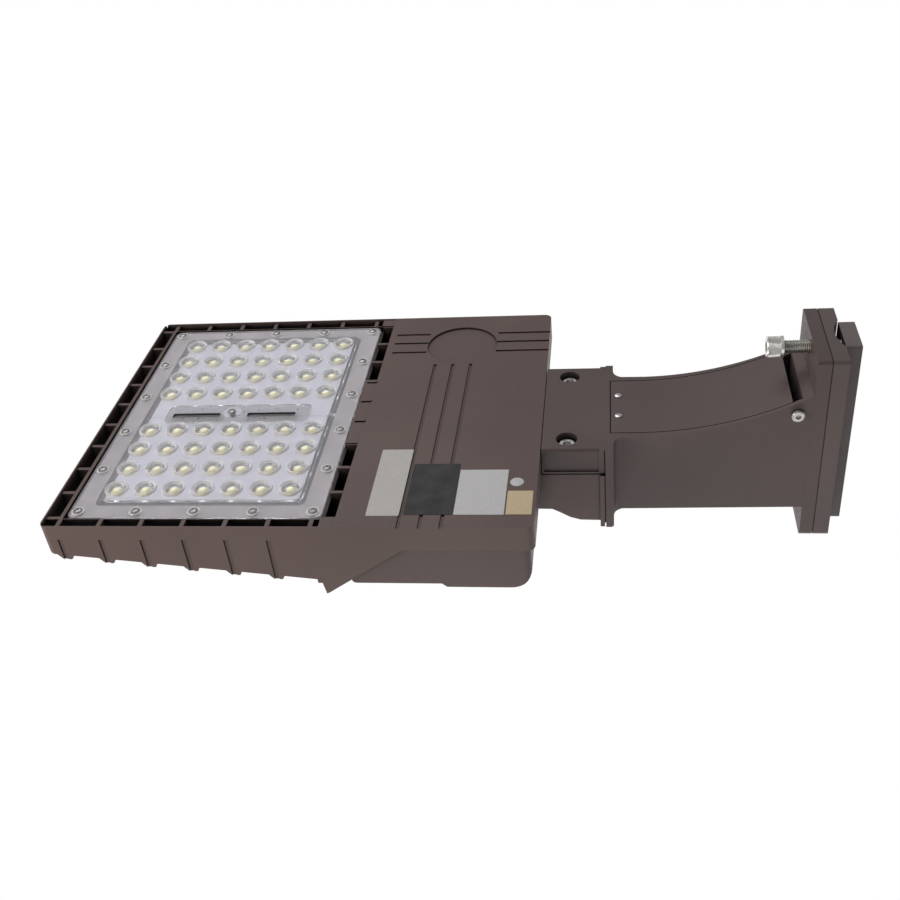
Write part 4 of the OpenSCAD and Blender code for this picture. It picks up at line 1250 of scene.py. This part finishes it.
@dataclass
class Studio:
    """Pale floor, soft lamps, white surround and the photograph's camera."""

    floor_z: float = -2.6
    eye: Point = (0.16619, -0.74333, -0.51775)
    right: Point = (-0.98919, 0.11358, 0.09275)
    up: Point = (-0.00806, 0.58942, -0.80778)
    lens_mm: float = 44.677
    surround: float = 0.25
    floor_glow: float = 0.66

    def camera(self) -> None:
        """Sets the camera at the photograph's place."""
        data = bpy.data.cameras.new("camera")
        data.lens = self.lens_mm
        data.sensor_width = 36.0
        data.clip_start, data.clip_end = 0.01, 100.0
        eye = bpy.data.objects.new("camera", data)
        bpy.context.scene.collection.objects.link(eye)
        right, up = Vector(self.right).normalized(), Vector(self.up).normalized()
        back = right.cross(up).normalized()
        up = back.cross(right)
        turn = Matrix((right, up, back)).transposed().to_4x4()
        eye.matrix_world = Matrix.Translation(self.eye) @ turn
        bpy.context.scene.camera = eye

    def lamp(self, name: str, place: Point, aim: Point, size: float, power: float, colour: Colour = (1, 1, 1)) -> None:
        """Hangs one soft square lamp.

        Args:
            name: its name.
            place: where it hangs.
            aim: what it faces.
            size: its side, metres.
            power: its power, watts.
            colour: its colour.
        """
        data = bpy.data.lights.new(name, "AREA")
        data.shape, data.size = "SQUARE", size
        data.energy, data.color = power, colour
        lamp = bpy.data.objects.new(name, data)
        bpy.context.scene.collection.objects.link(lamp)
        lamp.location = place
        lamp.rotation_euler = (Vector(aim) - Vector(place)).to_track_quat("-Z", "Y").to_euler()
        lamp.visible_camera = False

    def floor(self) -> None:
        """Lays the pale floor far below the hanging light, paler to the camera and with its shadow kept."""
        Bench.clear()
        bpy.ops.mesh.primitive_plane_add(size=120.0, location=(0, 0, self.floor_z))
        floor = Bench.settle(Bench.named("floor"))
        sheet = Sheet("pale_floor")
        tints = [(0.3, (0.90, 0.90, 0.90)), (0.7, (0.93, 0.93, 0.93))]
        sheet.join(sheet.ramp(sheet.noise(0.6, 2.0), tints), "Base Color")
        sheet.put("Roughness", 0.9)
        path = sheet.node("LightPath")
        level = sheet.node("Math")
        level.operation = "MULTIPLY"
        level.inputs[1].default_value = self.floor_glow
        glow = sheet.node("Emission")
        both = sheet.node("AddShader")
        sheet.join(path.outputs["Is Camera Ray"], level.inputs[0])
        sheet.join(level.outputs["Value"], glow.inputs["Strength"])
        sheet.join(sheet.shader.outputs["BSDF"], both.inputs[0])
        sheet.join(glow.outputs["Emission"], both.inputs[1])
        sheet.join(both.outputs["Shader"], sheet.output.inputs["Surface"])
        floor.data.materials.append(sheet.material)

    def surrounding(self) -> None:
        """Makes the surround white to the eye, in gloss and through glass, and softer as a lamp."""
        world = bpy.data.worlds.new("surround")
        bpy.context.scene.world = world
        world.use_nodes = True
        tree = world.node_tree
        tree.nodes.clear()
        path = tree.nodes.new("ShaderNodeLightPath")
        first, second = (tree.nodes.new("ShaderNodeMath") for _ in range(2))
        first.operation = second.operation = "MAXIMUM"
        soft, white = (tree.nodes.new("ShaderNodeBackground") for _ in range(2))
        soft.inputs["Strength"].default_value = self.surround
        white.inputs["Strength"].default_value = 1.0
        for node in (soft, white):
            node.inputs["Color"].default_value = (1, 1, 1, 1)
        mix = tree.nodes.new("ShaderNodeMixShader")
        output = tree.nodes.new("ShaderNodeOutputWorld")
        tree.links.new(path.outputs["Is Camera Ray"], first.inputs[0])
        tree.links.new(path.outputs["Is Glossy Ray"], first.inputs[1])
        tree.links.new(first.outputs[0], second.inputs[0])
        tree.links.new(path.outputs["Is Transmission Ray"], second.inputs[1])
        tree.links.new(second.outputs[0], mix.inputs[0])
        tree.links.new(soft.outputs[0], mix.inputs[1])
        tree.links.new(white.outputs[0], mix.inputs[2])
        tree.links.new(mix.outputs[0], output.inputs["Surface"])

    def build(self) -> None:
        """Sets up camera, surround, floor and lamps."""
        self.camera()
        self.surrounding()
        self.floor()
        self.lamp("key_below", (0.9, 0.7, -1.7), (0.35, 0, 0), 1.3, 16.0)
        self.lamp("fill_nose", (1.7, -1.15, -0.25), (0.35, -0.1, 0), 0.7, 7.0, (1.0, 0.93, 0.84))
        self.lamp("fill_edge", (1.0, -0.55, -0.1), (0.55, -0.15, 0), 0.35, 1.3, (1.0, 0.86, 0.7))
        self.lamp("soft_above", (0.2, -0.5, 2.2), (0.3, 0, 0), 2.0, 38.0)
        bpy.context.scene.view_settings.view_transform = "Standard"


@dataclass
class AreaLight:
    """The whole light."""

    finishes: Finishes = field(default_factory=Finishes)

    def castings(self) -> None:
        """Builds the castings with their rounded edges."""
        f = self.finishes
        for casting, finish in (
            (Casting("head_housing", "head_casting", Body.FIXTURE, 0.7 * MM), f.head),
            (Casting("driver_cover", "driver_cover_pressing", Body.FIXTURE, 0.9 * MM), f.cover),
            (Casting("arm_body", "arm_casting", Body.FIXTURE, 0.8 * MM), f.arm),
            (Casting("arm_cover", "arm_cover_pressing", Body.FIXTURE, 0.5 * MM), f.arm),
            (Casting("pole_adapter", "adapter_casting", Body.FIXTURE, 0.35 * MM), f.pole),
            (Casting("backing_bar", "bar_casting", Body.BAR, 0.35 * MM), f.bar),
        ):
            casting.build(finish)

    def small_parts(self) -> None:
        """Dresses the small and inner parts that stay as the frame has them."""
        f = self.finishes
        for node, finish in {
            "cover_gasket": f.rubber,
            "cover_screws": f.screw,
            "led_driver": f.case,
            "driver_screws": f.screw,
            "surge_protector": f.dark_plastic_and_slot_shade,
            "terminal_block": f.pale_plastic,
            "cable_gland": f.dark_plastic_and_slot_shade,
            "supply_leads": f.black_sheath,
            "led_leads": f.white_sheath,
            "splice_block": f.pale_plastic,
            "neck_gasket": f.rubber,
            "neck_bolt_left": f.cap,
            "neck_bolt_right": f.cap,
            "arm_cover_screws": f.cap,
            "ground_screw": f.screw,
            "lock_washer_lower": f.bolt,
            "lock_washer_upper": f.bolt,
        }.items():
            paint(node, finish)

    def build(self) -> None:
        """Builds the light from its sub-assemblies."""
        self.castings()
        LensPanel().build(self.finishes)
        BarePlates().build(self.finishes)
        for node, body in (("pole_bolt_lower", Body.BOLT_LOWER), ("pole_bolt_upper", Body.BOLT_UPPER)):
            PoleBolt(node, body).build(self.finishes.bolt, self.finishes.thread)
        self.small_parts()


def main() -> None:
    """Builds the studio and the light."""
    logging.basicConfig(level=logging.INFO, format="%(name)s: %(message)s")
    Studio().build()
    AreaLight().build()
    Bench.clear()


if __name__ == "__main__":
    main()
